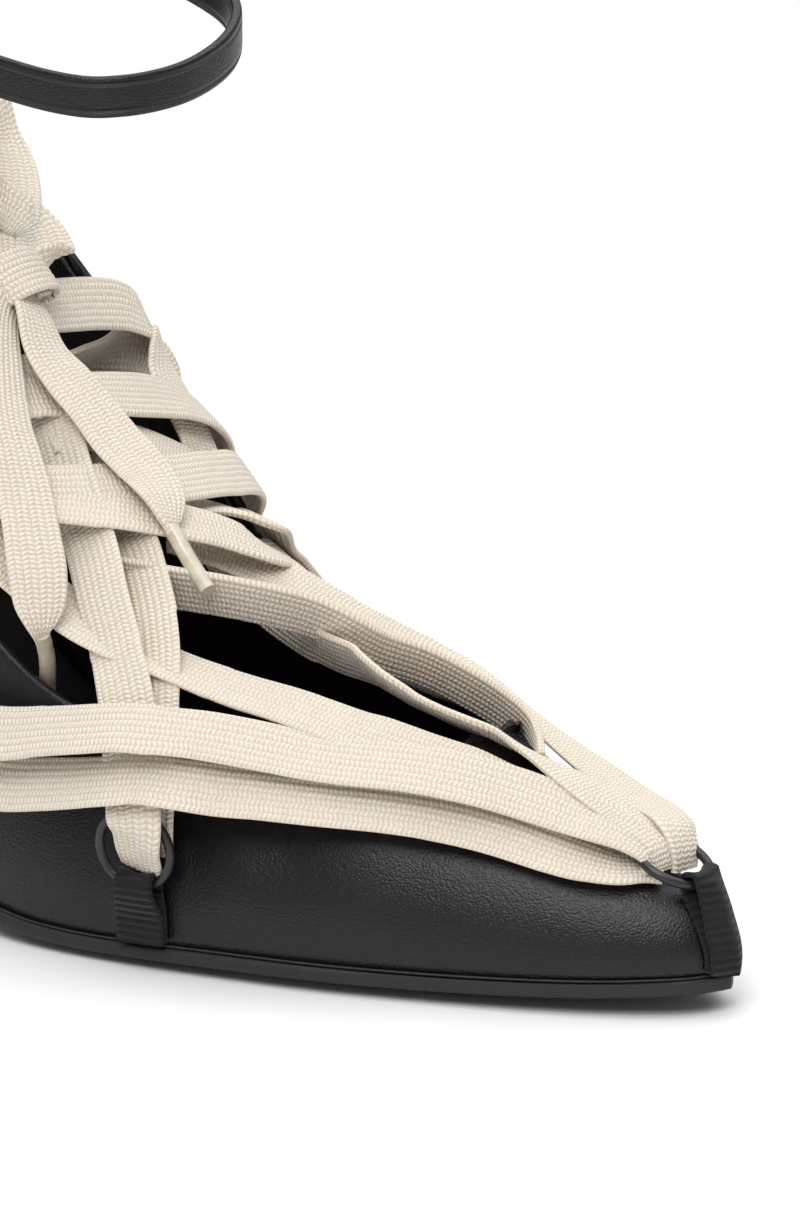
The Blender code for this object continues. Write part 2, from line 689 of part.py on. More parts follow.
class Tab:
    """A ribbon tab: where it stands on the wall, and the ring that it holds."""

    def __init__(self, side, row, long, spots):
        self.side = side
        self.row = row * ROW_STEPS
        self.long = long
        self.spots = spots
        self.at_toe = row < 0.5
        self.foot = side.point(self.row, 0.0)
        self.foot_out = self.outward(TOE_TAB_FOOT)
        if self.at_toe:
            self.across = Vector((0.0, 1.0, 0.0))
        else:
            along = side.point(self.row - 0.5, 0.0) - side.point(self.row + 0.5, 0.0)
            self.across = (along - self.foot_out * along.dot(self.foot_out)).normalized()
        steps = self.run()
        self.end, self.out = steps[-1]
        before = steps[-2][0]
        up = self.end - before
        self.up = (up - self.out * up.dot(self.out)).normalized()
        self.wire = self.end + self.out * RING_WIRE_LIFT + self.up * TAB_NECK

    def outward(self, t):
        """The wall's outward direction at t; at the toe it stays in the middle plane."""
        out = self.side.normal(self.row, t)
        if self.at_toe:
            out.y = 0.0
            out.normalize()
        return out

    def run(self):
        """The places on the wall under the ribbon's middle line, each with its outward direction."""
        out = []
        for k in range(TAB_STEPS + 1):
            share = k / TAB_STEPS
            if self.at_toe:
                t = TOE_TAB_FOOT + self.long * share
                out.append((self.side.point(self.row, t), self.outward(t)))
                continue
            up = self.foot_out.cross(self.across)
            up = up * (1.0 if up.z > 0.0 else -1.0)
            p = self.foot + up * (TAB_START + (self.long - TAB_START) * share)
            hit = OUTER.ray_cast(p + self.foot_out * RAY_START, -self.foot_out)
            out.append((hit[0], self.foot_out))
        return out


def ring_sag(d):
    """How far the ring's wire rises at a distance d to the side of its lowest place."""
    return RING_RADIUS - math.sqrt(RING_RADIUS ** 2 - d ** 2)


def build_ribbon(name, tab):
    """A folded ribbon: up the wall in front, round the ring's wire and down behind."""
    half = RIBBON_WIDE / 2.0
    spots = [half * (2.0 * k / (tab.spots - 1) - 1.0) for k in range(tab.spots)]
    columns = []

    def across(place, out, up_lift, rise):
        """One row of points over the ribbon, narrower and curved where it holds the ring."""
        row = []
        for d in spots:
            d *= 1.0 - (1.0 - RIBBON_NECK_SHARE) * rise
            p = place + tab.across * d
            if up_lift is not None:
                p = on_wall(p, out, up_lift)
            row.append(p + tab.up * (ring_sag(d) * rise))
        return row

    front = tab.run()
    for k, (p, out) in enumerate(front):
        rise = max(0.0, (k - len(front) + 3) / 2.0)
        lift = RIBBON_FRONT_LIFT + (RING_WIRE_LIFT + RIBBON_LOOP - RIBBON_FRONT_LIFT) * rise
        columns.append(across(p, out, lift, rise))
    for k in range(FOLD_STEPS + 1):
        turn = math.pi * k / FOLD_STEPS
        round_wire = tab.out * math.cos(turn) + tab.up * math.sin(turn)
        columns.append(across(tab.wire + round_wire * RIBBON_LOOP, tab.out, None, 1.0))
    for k, (p, out) in enumerate(reversed(front)):
        columns.append(across(p, out, RIBBON_BACK_LIFT, max(0.0, (2 - k) / 2.0)))
    made = add_object(name, grid_mesh(name, columns), RIBBON_BLACK)
    wall = made.modifiers.new("ribbon", "SOLIDIFY")
    wall.thickness = RIBBON_THICK * MM
    wall.offset = 0.0
    return made


def build_ring(name, tab, lean):
    """A round wire ring held at its lower side by a ribbon tab."""
    bpy.ops.mesh.primitive_torus_add(
        major_radius=RING_RADIUS * MM, minor_radius=RING_WIRE / 2.0 * MM,
        major_segments=RING_SEGMENTS, minor_segments=RING_SIDES)
    made = bpy.context.object
    made.name = name
    made.data.name = name
    across = tab.across
    tip = Matrix.Rotation(math.radians(lean), 3, across)
    up = tip @ tab.up
    out = across.cross(up) * (1.0 if across.cross(up).dot(tab.out) > 0 else -1.0)
    middle = tab.wire + up * RING_RADIUS
    axes = Matrix((across, up, out)).transposed().to_4x4()
    axes.translation = middle * MM
    made.matrix_world = axes
    made.data.materials.append(RING_BLACK)
    made.data.shade_smooth()
    for held in list(made.users_collection):
        held.objects.unlink(made)
    SHOE.objects.link(made)
    return made


def nearest_on_core(p):
    """The nearest place on the line that runs through the middle of the foot."""
    best = None
    for a, b in zip(CORE_LINE, CORE_LINE[1:]):
        a = Vector(a)
        b = Vector(b)
        t = min(max((p - a).dot(b - a) / (b - a).length_squared, 0.0), 1.0)
        q = a.lerp(b, t)
        if best is None or (p - q).length < (p - best).length:
            best = q
    return best


def strip_mesh(name, route, thick, steps=2):
    """A flat lace along a route of (x, y, z, width, roll), its flat side facing the foot."""
    points = spline(route, steps)
    rings = []
    last = len(points) - 1
    for i, row in enumerate(points):
        p = Vector(row[:3])
        ahead = Vector(points[min(i + 1, last)][:3])
        behind = Vector(points[max(i - 1, 0)][:3])
        along = (ahead - behind).normalized()
        out = p - nearest_on_core(p)
        out = (out - along * out.dot(along)).normalized()
        out = Matrix.Rotation(math.radians(row[4]), 3, along) @ out
        side = along.cross(out)
        half = side * (row[3] / 2.0)
        up = out * (thick / 2.0)
        rings.append([p - half - up, p + half - up, p + half + up, p - half + up])
    return tube_mesh(name, rings, True)


def build_crossings():
    """Every lace over the vamp and the instep, joined where they cross."""
    strips = []
    held = bpy.data.collections.new("lace_strips")
    bpy.context.scene.collection.children.link(held)
    for name, route in CROSSING_ROUTES.items():
        mesh = strip_mesh(name, route, LACE_THICK)
        if not strips:
            made = add_object("lace_crossings", mesh, LACE_CREAM, smooth=False)
            strips.append(made)
            continue
        strip = bpy.data.objects.new(name, mesh)
        strip.hide_render = True
        strip.display_type = "WIRE"
        held.objects.link(strip)
        strips.append(strip)
        join = strips[0].modifiers.new(name, "BOOLEAN")
        join.operation = "UNION"
        join.object = strip
    return strips[0]


def build_strap():
    """The ankle strap, one closed loop round the back of the counter."""
    points = spline(STRAP_ROUTE + STRAP_ROUTE[:1], STRAP_STEPS)[:-1]
    rings = []
    for i, row in enumerate(points):
        p = Vector(row)
        along = (Vector(points[(i + 1) % len(points)]) - Vector(points[i - 1])).normalized()
        out = along.cross(Vector((0.0, 0.0, 1.0))).normalized()
        up = out.cross(along).normalized()
        half = up * (STRAP_WIDE / 2.0)
        deep = out * (STRAP_THICK / 2.0)
        rings.append([p - half - deep, p + half - deep, p + half + deep, p - half + deep])
    rings.append(rings[0])
    return add_object("ankle_strap", tube_mesh("ankle_strap", rings, False), BLACK_LEATHER)


def strap_frame(share):
    """Place, forward, outward and upward directions on the strap's near side."""
    low = Vector(STRAP_ROUTE[BUCKLE_ROW])
    high = Vector(STRAP_ROUTE[BUCKLE_ROW + 1])
    along = (high - low).normalized()
    out = along.cross(Vector((0.0, 0.0, 1.0))).normalized()
    return low.lerp(high, share), along, out, out.cross(along).normalized()


def square_loop(name, middle, axes, sizes, bar, deep, material):
    """A rectangular ring in the plane of the first two axes, deep along the third."""
    first, second, third = axes
    long, wide = sizes
    rings = []
    for a, b in ((-1, -1), (1, -1), (1, 1), (-1, 1)):
        ring = []
        for inward, side in ((0.0, -1.0), (0.0, 1.0), (1.0, 1.0), (1.0, -1.0)):
            p = middle + first * (a * (long / 2.0 - bar * inward))
            p += second * (b * (wide / 2.0 - bar * inward)) + third * (side * deep / 2.0)
            ring.append(p)
        rings.append(ring)
    rings.append(rings[0])
    return add_object(name, tube_mesh(name, rings, False), material, smooth=False)


def build_buckle():
    """A small plain frame on the strap's outer side, and the keeper behind it."""
    middle, along, out, up = strap_frame(BUCKLE_SHARE)
    proud = STRAP_THICK / 2.0 + PIECE_GAP + BUCKLE_BAR / 2.0
    square_loop("buckle", middle + out * proud, (along, up, out), (BUCKLE_LONG, BUCKLE_WIDE),
                BUCKLE_BAR, BUCKLE_BAR, METAL_BLACK)
    middle, along, out, up = strap_frame(KEEPER_SHARE)
    room = 2.0 * (PIECE_GAP + KEEPER_THICK)
    square_loop("strap_keeper", middle, (out, up, along), (STRAP_THICK + room, STRAP_WIDE + room),
                KEEPER_THICK, KEEPER_LONG, BLACK_LEATHER)


def round_tube(name, route, radius, material):
    """A short round piece along a route, such as a lace's plastic end."""
    rings = []
    points = [Vector(p) for p in route]
    for i, p in enumerate(points):
        along = (points[min(i + 1, len(points) - 1)] - points[max(i - 1, 0)]).normalized()
        side = along.orthogonal().normalized()
        over = along.cross(side)
        turns = [2.0 * math.pi * k / AGLET_SIDES for k in range(AGLET_SIDES)]
        rings.append([p + (side * math.cos(turn) + over * math.sin(turn)) * radius for turn in turns])
    return add_object(name, tube_mesh(name, rings, True), material)


def build_knot():
    """The bow's knot: a soft squarish lump with its flat side on the crossings."""
    made = bmesh.new()
    bmesh.ops.create_uvsphere(made, u_segments=14, v_segments=8, radius=1.0)
    out = (Vector(KNOT_AT) - nearest_on_core(Vector(KNOT_AT))).normalized()
    side = Vector((0.0, 1.0, 0.0))
    along = side.cross(out).normalized()
    for v in made.verts:
        local = v.co.copy()
        length, wide, deep = KNOT_HALF
        place = along * (local.x * length) + side * (local.y * wide) + out * (local.z * deep)
        v.co = (Vector(KNOT_AT) + place) * MM
    mesh = bpy.data.meshes.new("lace_knot")
    made.to_mesh(mesh)
    made.free()
    return add_object("lace_knot", mesh, LACE_CREAM)


def build_shoe():
    """Build every piece, the carried ones after what carries them."""
    build_outsole()
    build_insole()
    build_upper()
    build_heel()
    build_heel_tip()
    sides = {"lateral": LATERAL, "medial": MEDIAL}
    for place, (side, row, spots, lean) in TAB_PLACES.items():
        tab = Tab(sides[side], row, SIDE_TAB_LONG if row else TOE_TAB_SHARE, spots)
        build_ribbon(place + "_tab", tab)
        build_ring(place + "_ring", tab, lean)
    build_crossings()
    build_strap()
    build_buckle()
    build_knot()
    for name, route in LOOSE_ROUTES.items():
        add_object(name, strip_mesh(name, route, LACE_THICK), LACE_CREAM, smooth=False)
    for name, route in AGLET_ROUTES.items():
        round_tube(name, route, AGLET_RADIUS, AGLET_CREAM)


build_shoe()
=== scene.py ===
"""Lace up heel, right shoe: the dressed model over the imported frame.

Leather upper, covered heel, flat cotton laces run through wire rings on grosgrain tabs, a tied bow
and an ankle strap. Tables are in millimetres in the row frame: +X to the toe, +Y to the inner side,
+Z up, with the origin at the middle of the heel tip.
"""
from __future__ import annotations

import logging
import math
from dataclasses import dataclass, field
from enum import Enum

import bmesh
import bpy
import numpy as np
from mathutils import Matrix, Vector
from mathutils.bvhtree import BVHTree
from mathutils.kdtree import KDTree


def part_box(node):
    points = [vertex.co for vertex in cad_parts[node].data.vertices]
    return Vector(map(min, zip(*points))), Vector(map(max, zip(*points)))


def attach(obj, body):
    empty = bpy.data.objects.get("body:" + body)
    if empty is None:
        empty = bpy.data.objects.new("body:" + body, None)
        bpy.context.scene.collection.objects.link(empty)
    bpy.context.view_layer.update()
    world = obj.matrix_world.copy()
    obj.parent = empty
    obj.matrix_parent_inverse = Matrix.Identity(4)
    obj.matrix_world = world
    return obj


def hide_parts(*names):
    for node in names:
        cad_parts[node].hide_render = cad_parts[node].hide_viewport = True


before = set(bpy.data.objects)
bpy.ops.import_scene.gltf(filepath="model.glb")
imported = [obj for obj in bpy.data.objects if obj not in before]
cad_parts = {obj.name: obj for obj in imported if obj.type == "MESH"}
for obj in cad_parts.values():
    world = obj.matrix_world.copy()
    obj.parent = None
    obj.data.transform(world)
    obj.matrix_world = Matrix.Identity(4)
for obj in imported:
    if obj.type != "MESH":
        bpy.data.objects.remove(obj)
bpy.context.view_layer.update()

LOG = logging.getLogger("lace_up_heel")
MM = 0.001
MERGE = 0.00002
BODY = "root"

# The middle of the foot, which the laces lie round: (x, y, z)
CORE_LINE = (
    (192.0, 0.0, 8.0),
    (169.0, 0.0, 12.0),
    (144.0, 0.0, 14.0),
    (124.0, 0.0, 18.0),
    (104.0, 0.0, 27.0),
    (84.0, 0.0, 42.0),
    (64.0, 0.0, 60.0),
    (44.0, 0.0, 82.0),
)

# Flat laces over the vamp and instep: (x, y, z, width, roll in degrees)
LACE_ROUTES = {
    "low_outer": (
        (203.2, -2.6, 21.4, 5, 0),
        (200.6, -4.6, 21.9, 6.5, 10),
        (197.6, -7.2, 22.1, 8.5, 14),
        (193.4, -9.4, 23.1, 9.6, 10),
        (189, -11.4, 24.4, 9.6, 8),
        (180.7, -14.6, 26.9, 9.6, 6),
        (173.3, -18.2, 28.6, 9.6, 8),
        (165.6, -22.6, 29.8, 9.6, 12),
        (156.2, -27.2, 30.4, 9.6, 16),
        (147.1, -31, 30.8, 9.6, 20),
        (141.3, -33.8, 31.1, 9.6, 22),
        (135.9, -37.2, 31.9, 9.6, 28),
        (130.6, -38.7, 32, 9.6, 32),
        (124.4, -39.8, 31, 9.6, 34),
        (112.5, -39.3, 28.4, 9.6, 36),
        (100.8, -38.8, 26.6, 9.6, 36),
        (91, -40.2, 28.4, 9.2, 16),
        (84, -39.8, 31.2, 7.5, 0),
        (80.6, -37.6, 33, 6, 0),
    ),
    "high_outer": (
        (202.6, -3.2, 21.4, 6.6, 0),
        (201.9, -3.4, 24.4, 7, 0),
        (198.6, -4.3, 26.5, 8.2, 0),
        (194.6, -5.4, 28, 9.4, -4),
        (189.5, -7.2, 29.5, 9.6, -6),
        (185.6, -9, 30.9, 9.6, -8),
        (180.1, -12, 32.8, 9.6, -6),
        (173.8, -16.1, 34.7, 9.6, 0),
        (166.6, -19.7, 35.7, 9.6, 6),
        (159.4, -22.9, 36, 9.6, 12),
        (152.8, -25.3, 36.4, 9.6, 16),
        (145, -28.4, 37.6, 9.6, 16),
        (137.4, -32.2, 38.8, 9.6, 18),
        (131.4, -36, 39.5, 9.6, 22),
        (125.8, -37.9, 39.5, 9.6, 26),
        (119.4, -38.7, 38.4, 9.6, 28),
        (111.4, -38.6, 36.7, 9.6, 32),
        (100.8, -39, 34.6, 9.6, 32),
        (91, -41, 34.6, 9, 14),
        (84.5, -40.8, 34.2, 7.5, 0),
        (80.6, -38.8, 33.6, 6, 0),
    ),
    "under_pair": (
        (203, -2.2, 22, 5, 0),
        (202, -2.3, 24.6, 6, 0),
        (198.6, -2.8, 26.1, 7, 0),
        (194, -3.6, 27, 9, 0),
        (189.2, -5, 28.6, 9.6, -2),
        (184.6, -6.9, 30.6, 9.6, 0),
        (178.8, -10, 32.8, 9.6, 4),
        (173.2, -12.6, 35.1, 9.6, 4),
        (166.1, -15.1, 37, 9.6, 8),
        (158.9, -16.6, 38.5, 9.6, 8),
        (154.6, -17.5, 39.4, 9.6, 14),
        (144.8, -19.5, 41.8, 9.6, 20),
        (135.8, -21.8, 43.6, 9.6, 26),
        (126.3, -23.9, 46, 9.6, 36),
        (117.7, -25.3, 48.3, 9.6, 36),
        (110.5, -26.3, 50.6, 9.6, 38),
        (105.3, -26.5, 53, 9.6, 34),
        (97.8, -27.3, 57.2, 9.6, 38),
        (91, -28.6, 63, 9.4, 34),
        (85, -26.8, 71, 9, 20),
        (81, -22, 80, 8.5, 5),
    ),
    "inner_low": (
        (202.9, -1, 22, 7, 0),
        (202, -1, 25, 7.5, 0),
        (198.6, -0.8, 27.1, 8.4, 0),
        (194, -0.6, 28.8, 9.4, 2),
        (189, -1, 31, 9.6, 8),
        (184, -1.4, 33.2, 9.6, 16),
        (179, -1.8, 35.2, 9.6, 28),
        (174.1, -2.2, 36.9, 9.6, 36),
        (169.3, -3.9, 38.9, 9.6, 40),
        (163.8, -4.7, 40.3, 9.6, 42),
        (159.1, -5.1, 41.7, 9.6, 44),
        (155.1, -5.5, 43.3, 9.6, 50),
        (150.4, -4.6, 44.7, 9.6, 54),
        (146.5, -3.4, 45.6, 9.6, 56),
        (139.8, -1.5, 45.8, 9.6, 56),
        (133.6, 0.5, 46.6, 9.6, 58),
        (128.1, 2.5, 47.6, 9.6, 60),
        (120.9, 4.5, 49.9, 9.6, 62),
        (115.9, 5.5, 53, 9.6, 62),
        (112.4, 5, 55.9, 9.6, 60),
        (110, 3, 62, 9.2, 50),
    ),
    "inner_middle": (
        (178, 1, 32.5, 7, 0),
        (175, 4.5, 34, 8.4, 0),
        (170.6, 7.8, 36, 9.4, 0),
        (164.5, 8.8, 38.6, 9.6, 0),
        (158.1, 7.2, 41.8, 9.6, 0),
        (152.3, 5, 44.4, 9.6, 0),
        (145.7, 1.8, 46.6, 9.6, 0),
        (140.7, -2.4, 50.4, 9.6, 0),
        (137, -5, 52.4, 9.6, 0),
        (132.5, -8, 53.8, 9.6, 0),
        (127.9, -10.6, 54.8, 9.6, 0),
        (122.4, -12.6, 55.4, 9.6, 0),
        (116.9, -14.2, 55.8, 9.6, 0),
        (111.3, -15.6, 56.3, 9.6, 0),
        (106.6, -17.4, 56.9, 9, 0),
    ),
    "inner_high": (
        (203.6, 2.8, 20.4, 8, 0),
        (203.3, 3.2, 23.4, 8.4, 0),
        (201.3, 3.9, 26.6, 8.8, 0),
        (197.6, 5.6, 27.8, 9, -8),
        (190.9, 7.8, 28.8, 9.4, -14),
        (181.5, 10, 31.6, 9.6, -14),
        (172.6, 11.5, 34.9, 9.6, -8),
        (164.4, 12.3, 38.6, 9.6, -4),
        (155.1, 13.4, 42.2, 9.6, -12),
        (149.2, 12.4, 43.7, 9.6, -26),
        (141, 9, 46.8, 9.6, -30),
        (135.4, 8, 49, 9.6, -26),
        (130.5, 7, 51.3, 9.6, -22),
        (122.4, 5, 55.2, 9.6, -16),
        (114.5, 1, 59, 9.6, -10),
        (109, -5, 62, 9.4, 0),
    ),
    "side_pair_front": (
        (128.6, -37, 17, 8.4, 0),
        (129.2, -38.9, 20.2, 8.8, 4),
        (130.2, -40.7, 24, 9.2, 8),
        (129.6, -40.3, 27.2, 9.6, 10),
        (127.2, -37.4, 31, 9.6, 8),
        (125.3, -35.4, 35.5, 9.6, 4),
        (122.3, -32.6, 41.6, 9.6, -4),
        (117.9, -29.2, 47.4, 9.6, -18),
        (114.6, -26.7, 51.5, 9.6, -28),
        (111.4, -24.7, 55.5, 9.6, -30),
        (107.9, -22.1, 59.7, 9.6, -32),
        (103.8, -19, 63.4, 9.6, -38),
        (99.5, -16.4, 68.1, 9.6, -46),
        (93.7, -12.8, 74, 9.6, -48),
        (88, -9, 81, 9, -40),
        (82.5, -6, 88, 8, -20),
    ),
    "side_pair_rear": (
        (129, -35.6, 19.4, 9, 6),
        (129.4, -36.6, 25, 9.4, 6),
        (128.6, -34.2, 33, 9.6, -4),
        (125.4, -30, 41, 9.6, -10),
        (122.5, -25.9, 46.8, 9.6, -16),
        (119, -22.3, 52, 9.6, -22),
        (115, -18.8, 56.3, 9.6, -34),
        (110.8, -15.6, 60.3, 9.6, -42),
        (106.3, -12.7, 64.2, 9.6, -52),
        (100.9, -9.8, 68.6, 9.6, -54),
        (94, -6.5, 75, 9.2, -48),
        (87, -4, 82, 8.4, -40),
    ),
    "over_front": (
        (112.5, 39.8, 22, 7, 0),
        (111.2, 40.6, 29, 8.5, 0),
        (109, 38.4, 37, 9.6, 0),
        (106.8, 35.4, 43.5, 9.6, 0),
        (106.4, 31.2, 48.8, 9.6, 4),
        (109.8, 25, 51.8, 9.6, 10),
        (114.6, 17.5, 54.2, 9.6, 14),
        (118.4, 10.5, 56.6, 9.6, 14),
        (120.2, 5.4, 58.8, 9.6, 10),
        (119.8, 1.4, 60.8, 9.6, 8),
        (116.8, -3.4, 63.2, 9.6, 10),
        (114.2, -7.6, 64.8, 9.6, 12),
        (111.2, -11.2, 66.2, 9.6, 12),
        (106.8, -15.4, 67.5, 9.6, 14),
        (101.8, -19.3, 68.4, 9.6, 18),
        (96.5, -23, 68.9, 9.6, 24),
        (91, -26.4, 69.4, 9.4, 24),
        (86.5, -28.6, 69.6, 8.6, 18),
    ),
    "over_front_twin": (
        (113.2, 41, 22.5, 6.5, 0),
        (111.5, 42.2, 30, 8.5, 0),
        (108.2, 39.8, 38.5, 9.6, 0),
        (105.2, 36.2, 45.8, 9.6, 0),
        (104.2, 32, 51.4, 9.6, 5),
        (106, 26.8, 55, 9.6, 12),
        (109, 21.6, 57.8, 9.6, 18),
        (111.6, 17, 59.8, 9.6, 22),
        (112, 13, 61.2, 9.6, 24),
        (110.4, 10, 62.6, 9.6, 24),
        (107.6, 6.5, 63.8, 9.6, 22),
        (104.6, 2.5, 64.8, 9.2, 20),
    ),
    "over_second": (
        (80.6, 36, 36, 6.5, 0),
        (83, 38, 42, 8.5, 0),
        (88, 37.8, 50, 9.4, 0),
        (94, 34, 57, 9.6, 0),
        (99.6, 29, 62, 9.6, 0),
        (103, 24, 65, 9.6, 0),
        (105.4, 18.4, 66.9, 9.6, 0),
        (106.8, 13, 67.9, 9.6, 0),
        (107.6, 8.2, 68.8, 9.6, 0),
        (107.8, 1.9, 69.5, 9.6, 0),
        (107.2, -4.5, 70, 9.6, 0),
        (105.2, -10.4, 70.1, 9.6, 0),
        (101.9, -15.8, 70.1, 9.6, 0),
        (97.3, -20.6, 70.2, 9.4, 0),
        (92.5, -24.6, 70.6, 8.6, 0),
    ),
    "over_third": (
        (80.2, 34, 33, 6, 0),
        (80.4, 36.8, 40, 8, 0),
        (83.4, 37.4, 50, 9.2, 0),
        (87.4, 36, 60, 9.6, 0),
        (90.2, 32.6, 68, 9.6, 0),
        (91.4, 27.6, 73.2, 9.6, 2),
        (91.6, 21, 76.6, 9.6, 0),
        (91.6, 14.4, 78.6, 9.6, -3),
        (91.6, 6.4, 80.3, 9.6, -2),
        (90.5, 0, 81.4, 9.6, 4),
        (88.3, -7.6, 82.2, 9.6, 10),
        (84.9, -13.6, 82.6, 9.6, 16),
        (81.2, -19, 81.6, 9, 16),
        (78.6, -23.4, 78.6, 8.2, 8),
    ),
    "over_top": (
        (80.1, 33.6, 34, 6, 0),
        (79.5, 36, 44, 8, 0),
        (78.5, 36.6, 56, 9.4, 0),
        (77, 35.6, 67, 9.6, 0),
        (76.4, 33.8, 76, 9.6, 0),
        (77.2, 31, 83, 9.6, 0),
        (78.6, 27.4, 88, 9.6, 0),
        (78.6, 22, 91, 9.6, 0),
        (77.8, 15, 92.4, 9.6, 0),
        (77.2, 6.2, 93.4, 9.6, 0),
        (76.8, -0.7, 94.3, 9.6, 0),
        (76, -5, 95, 8, 0),
    ),
    "over_top_return": (
        (81.4, 34.2, 60, 8, 0),
        (82, 33.8, 69, 9.2, -14),
        (80.6, 32.4, 76.6, 9.6, -38),
        (77.2, 29, 81.4, 9.6, -66),
        (74.4, 22.5, 82.6, 9.6, -82),
        (74.4, 14, 82, 9.6, -80),
        (75.2, 6, 81.4, 9.6, -78),
        (75.6, -1, 81.2, 9.4, -76),
        (75.6, -7, 80.6, 8.6, -70),
    ),
    "over_fourth": (
        (79.8, 29.6, 84.6, 8, 0),
        (81.8, 28, 82, 9.4, 8),
        (83.8, 26.4, 80, 9.6, 16),
        (86.1, 24.8, 78, 9.6, 24),
        (88.9, 23.8, 75.2, 9.6, 28),
        (92.1, 23, 71.6, 9.6, 28),
        (95, 22, 68, 9.6, 26),
        (98, 20, 65.4, 9, 20),
    ),
    "shaded_second": (
        (100, 20.5, 65, 8.6, 0),
        (98.4, 15.5, 68.4, 9.4, 6),
        (96.4, 7, 72.6, 9.6, 12),
        (94.8, -0.3, 74.9, 9.6, 18),
        (92.6, -6.4, 76.2, 9.6, 20),
        (89.8, -12, 76.6, 9, 20),
    ),
}

# The bow, whose strands start and end inside the knot: (x, y, z, width, roll in degrees)
BOW_ROUTES = {
    "bow_loop_inner": (
        (76.5, -1, 98.1, 7, 0),
        (76.6, 3, 99.4, 8.5, 0),
        (74.8, 7.1, 100.4, 9.4, 0),
        (72.4, 9.2, 102.4, 9.6, 0),
        (69.1, 10.2, 105.2, 9.6, 0),
        (65.7, 8.2, 108.1, 9.6, 0),
        (64.6, 5.1, 110.4, 9.6, 0),
        (63.7, 1, 114.9, 9.6, 0),
        (56.6, 5, 120.3, 9.6, 0),
        (54.2, 11, 124.6, 9.6, 0),
        (56, 16, 123.5, 9.6, 0),
        (57.4, 17, 117.4, 9.6, 0),
        (61.7, 14, 111.5, 9.6, 0),
        (67, 8, 105.4, 9, 0),
        (74, 0, 96.5, 7, 0),
    ),
    "bow_loop_outer": (
        (76.5, -4, 97, 7, 0),
        (76, -11, 98.5, 9, 0),
        (74, -19, 102.5, 9.6, 0),
        (71, -26, 107, 9.6, 0),
        (67, -28, 112, 9.6, 0),
        (63.5, -24, 114.5, 9.6, 0),
        (64, -16, 113, 9.6, 0),
        (67, -9.5, 109, 9.6, 0),
        (71.5, -6, 104, 8.6, 0),
        (75.5, -4.5, 98.5, 7, 0),
    ),
    "lace_end_long": (
        (76.5, -2.5, 98, 7, -20),
        (81.4, -4.9, 94.9, 8.5, -20),
        (85.8, -7, 89.4, 9.6, -12),
        (91.2, -7.9, 85.2, 9.6, 0),
        (96.3, -8, 81, 9.6, 0),
        (101.2, -8.3, 76.8, 9.6, 4),
        (104.9, -8.5, 74.3, 9.6, 4),
        (108.6, -8.9, 71.8, 9.4, 0),
        (112.4, -10.5, 69.4, 8.4, -8),
        (115.3, -12.6, 66.6, 5, -20),
        (116.4, -13.2, 65, 2.8, -30),
        (119, -13.8, 62.2, 2.2, -30),
        (122, -14.4, 59.5, 2.2, -30),
    ),
    "lace_end_short": (
        (76.5, -3.5, 98, 7, -30),
        (80.6, -11.4, 94.6, 8.5, -34),
        (85.4, -17.4, 87.6, 9.6, -32),
        (90.4, -22.4, 81.2, 9.6, -32),
        (94.2, -24.8, 76.4, 9.6, -30),
        (97.6, -27, 71.4, 9.6, -26),
        (101.3, -29.8, 65.7, 9.6, -24),
        (104.4, -32.2, 60, 9.6, -24),
        (105.8, -33.5, 55.1, 8.4, -30),
        (106.3, -34, 52.2, 5.4, -40),
        (106, -33.6, 50.4, 2.8, -50),
        (104.6, -31, 47.5, 2.2, -50),
        (103.2, -28.8, 44.4, 2.2, -50),
    ),
}
AGLET_ROUTES = {
    "aglet_long": ((116.1, -13.1, 65.2), (120.4, -14, 60.8), (125.2, -15.2, 56.7)),
    "aglet_short": ((106, -33.5, 50.7), (103.4, -29, 45), (99.9, -25, 37)),
}

# Strips that turn without a twist, and the direction in which each one's width lies
KEPT_WIDE = {
    "over_second": (-0.75, 0.15, 0.62),
    "inner_middle": (0.34, -0.42, 0.84),
    "over_top": (-0.5, -0.1, 0.86),
    "bow_loop_inner": (-0.22, 0.8, 0.54),
    "bow_loop_outer": (-0.72, 0.41, 0.54),
}

# The ankle strap's middle line, round the back of the counter and forward: (x, y, z)
STRAP_ROUTE = (
    (-25.6, 0.0, 151.5),
    (-21.0, -11.0, 151.5),
    (-10.0, -19.2, 151.0),
    (6.0, -21.6, 150.0),
    (30.0, -22.4, 147.5),
    (60.0, -22.8, 142.0),
    (89.0, -22.0, 136.2),
    (103.0, -20.5, 134.2),
    (110.0, -16.5, 134.2),
    (113.5, -8.5, 135.0),
    (114.0, 0.0, 136.6),
    (112.5, 8.0, 139.0),
    (108.5, 14.5, 142.0),
    (101.0, 18.5, 145.2),
    (86.0, 20.5, 149.0),
    (60.0, 21.5, 152.0),
    (30.0, 21.8, 152.6),
    (6.0, 21.2, 152.0),
    (-10.0, 19.0, 151.8),
    (-21.0, 11.0, 151.5),
)

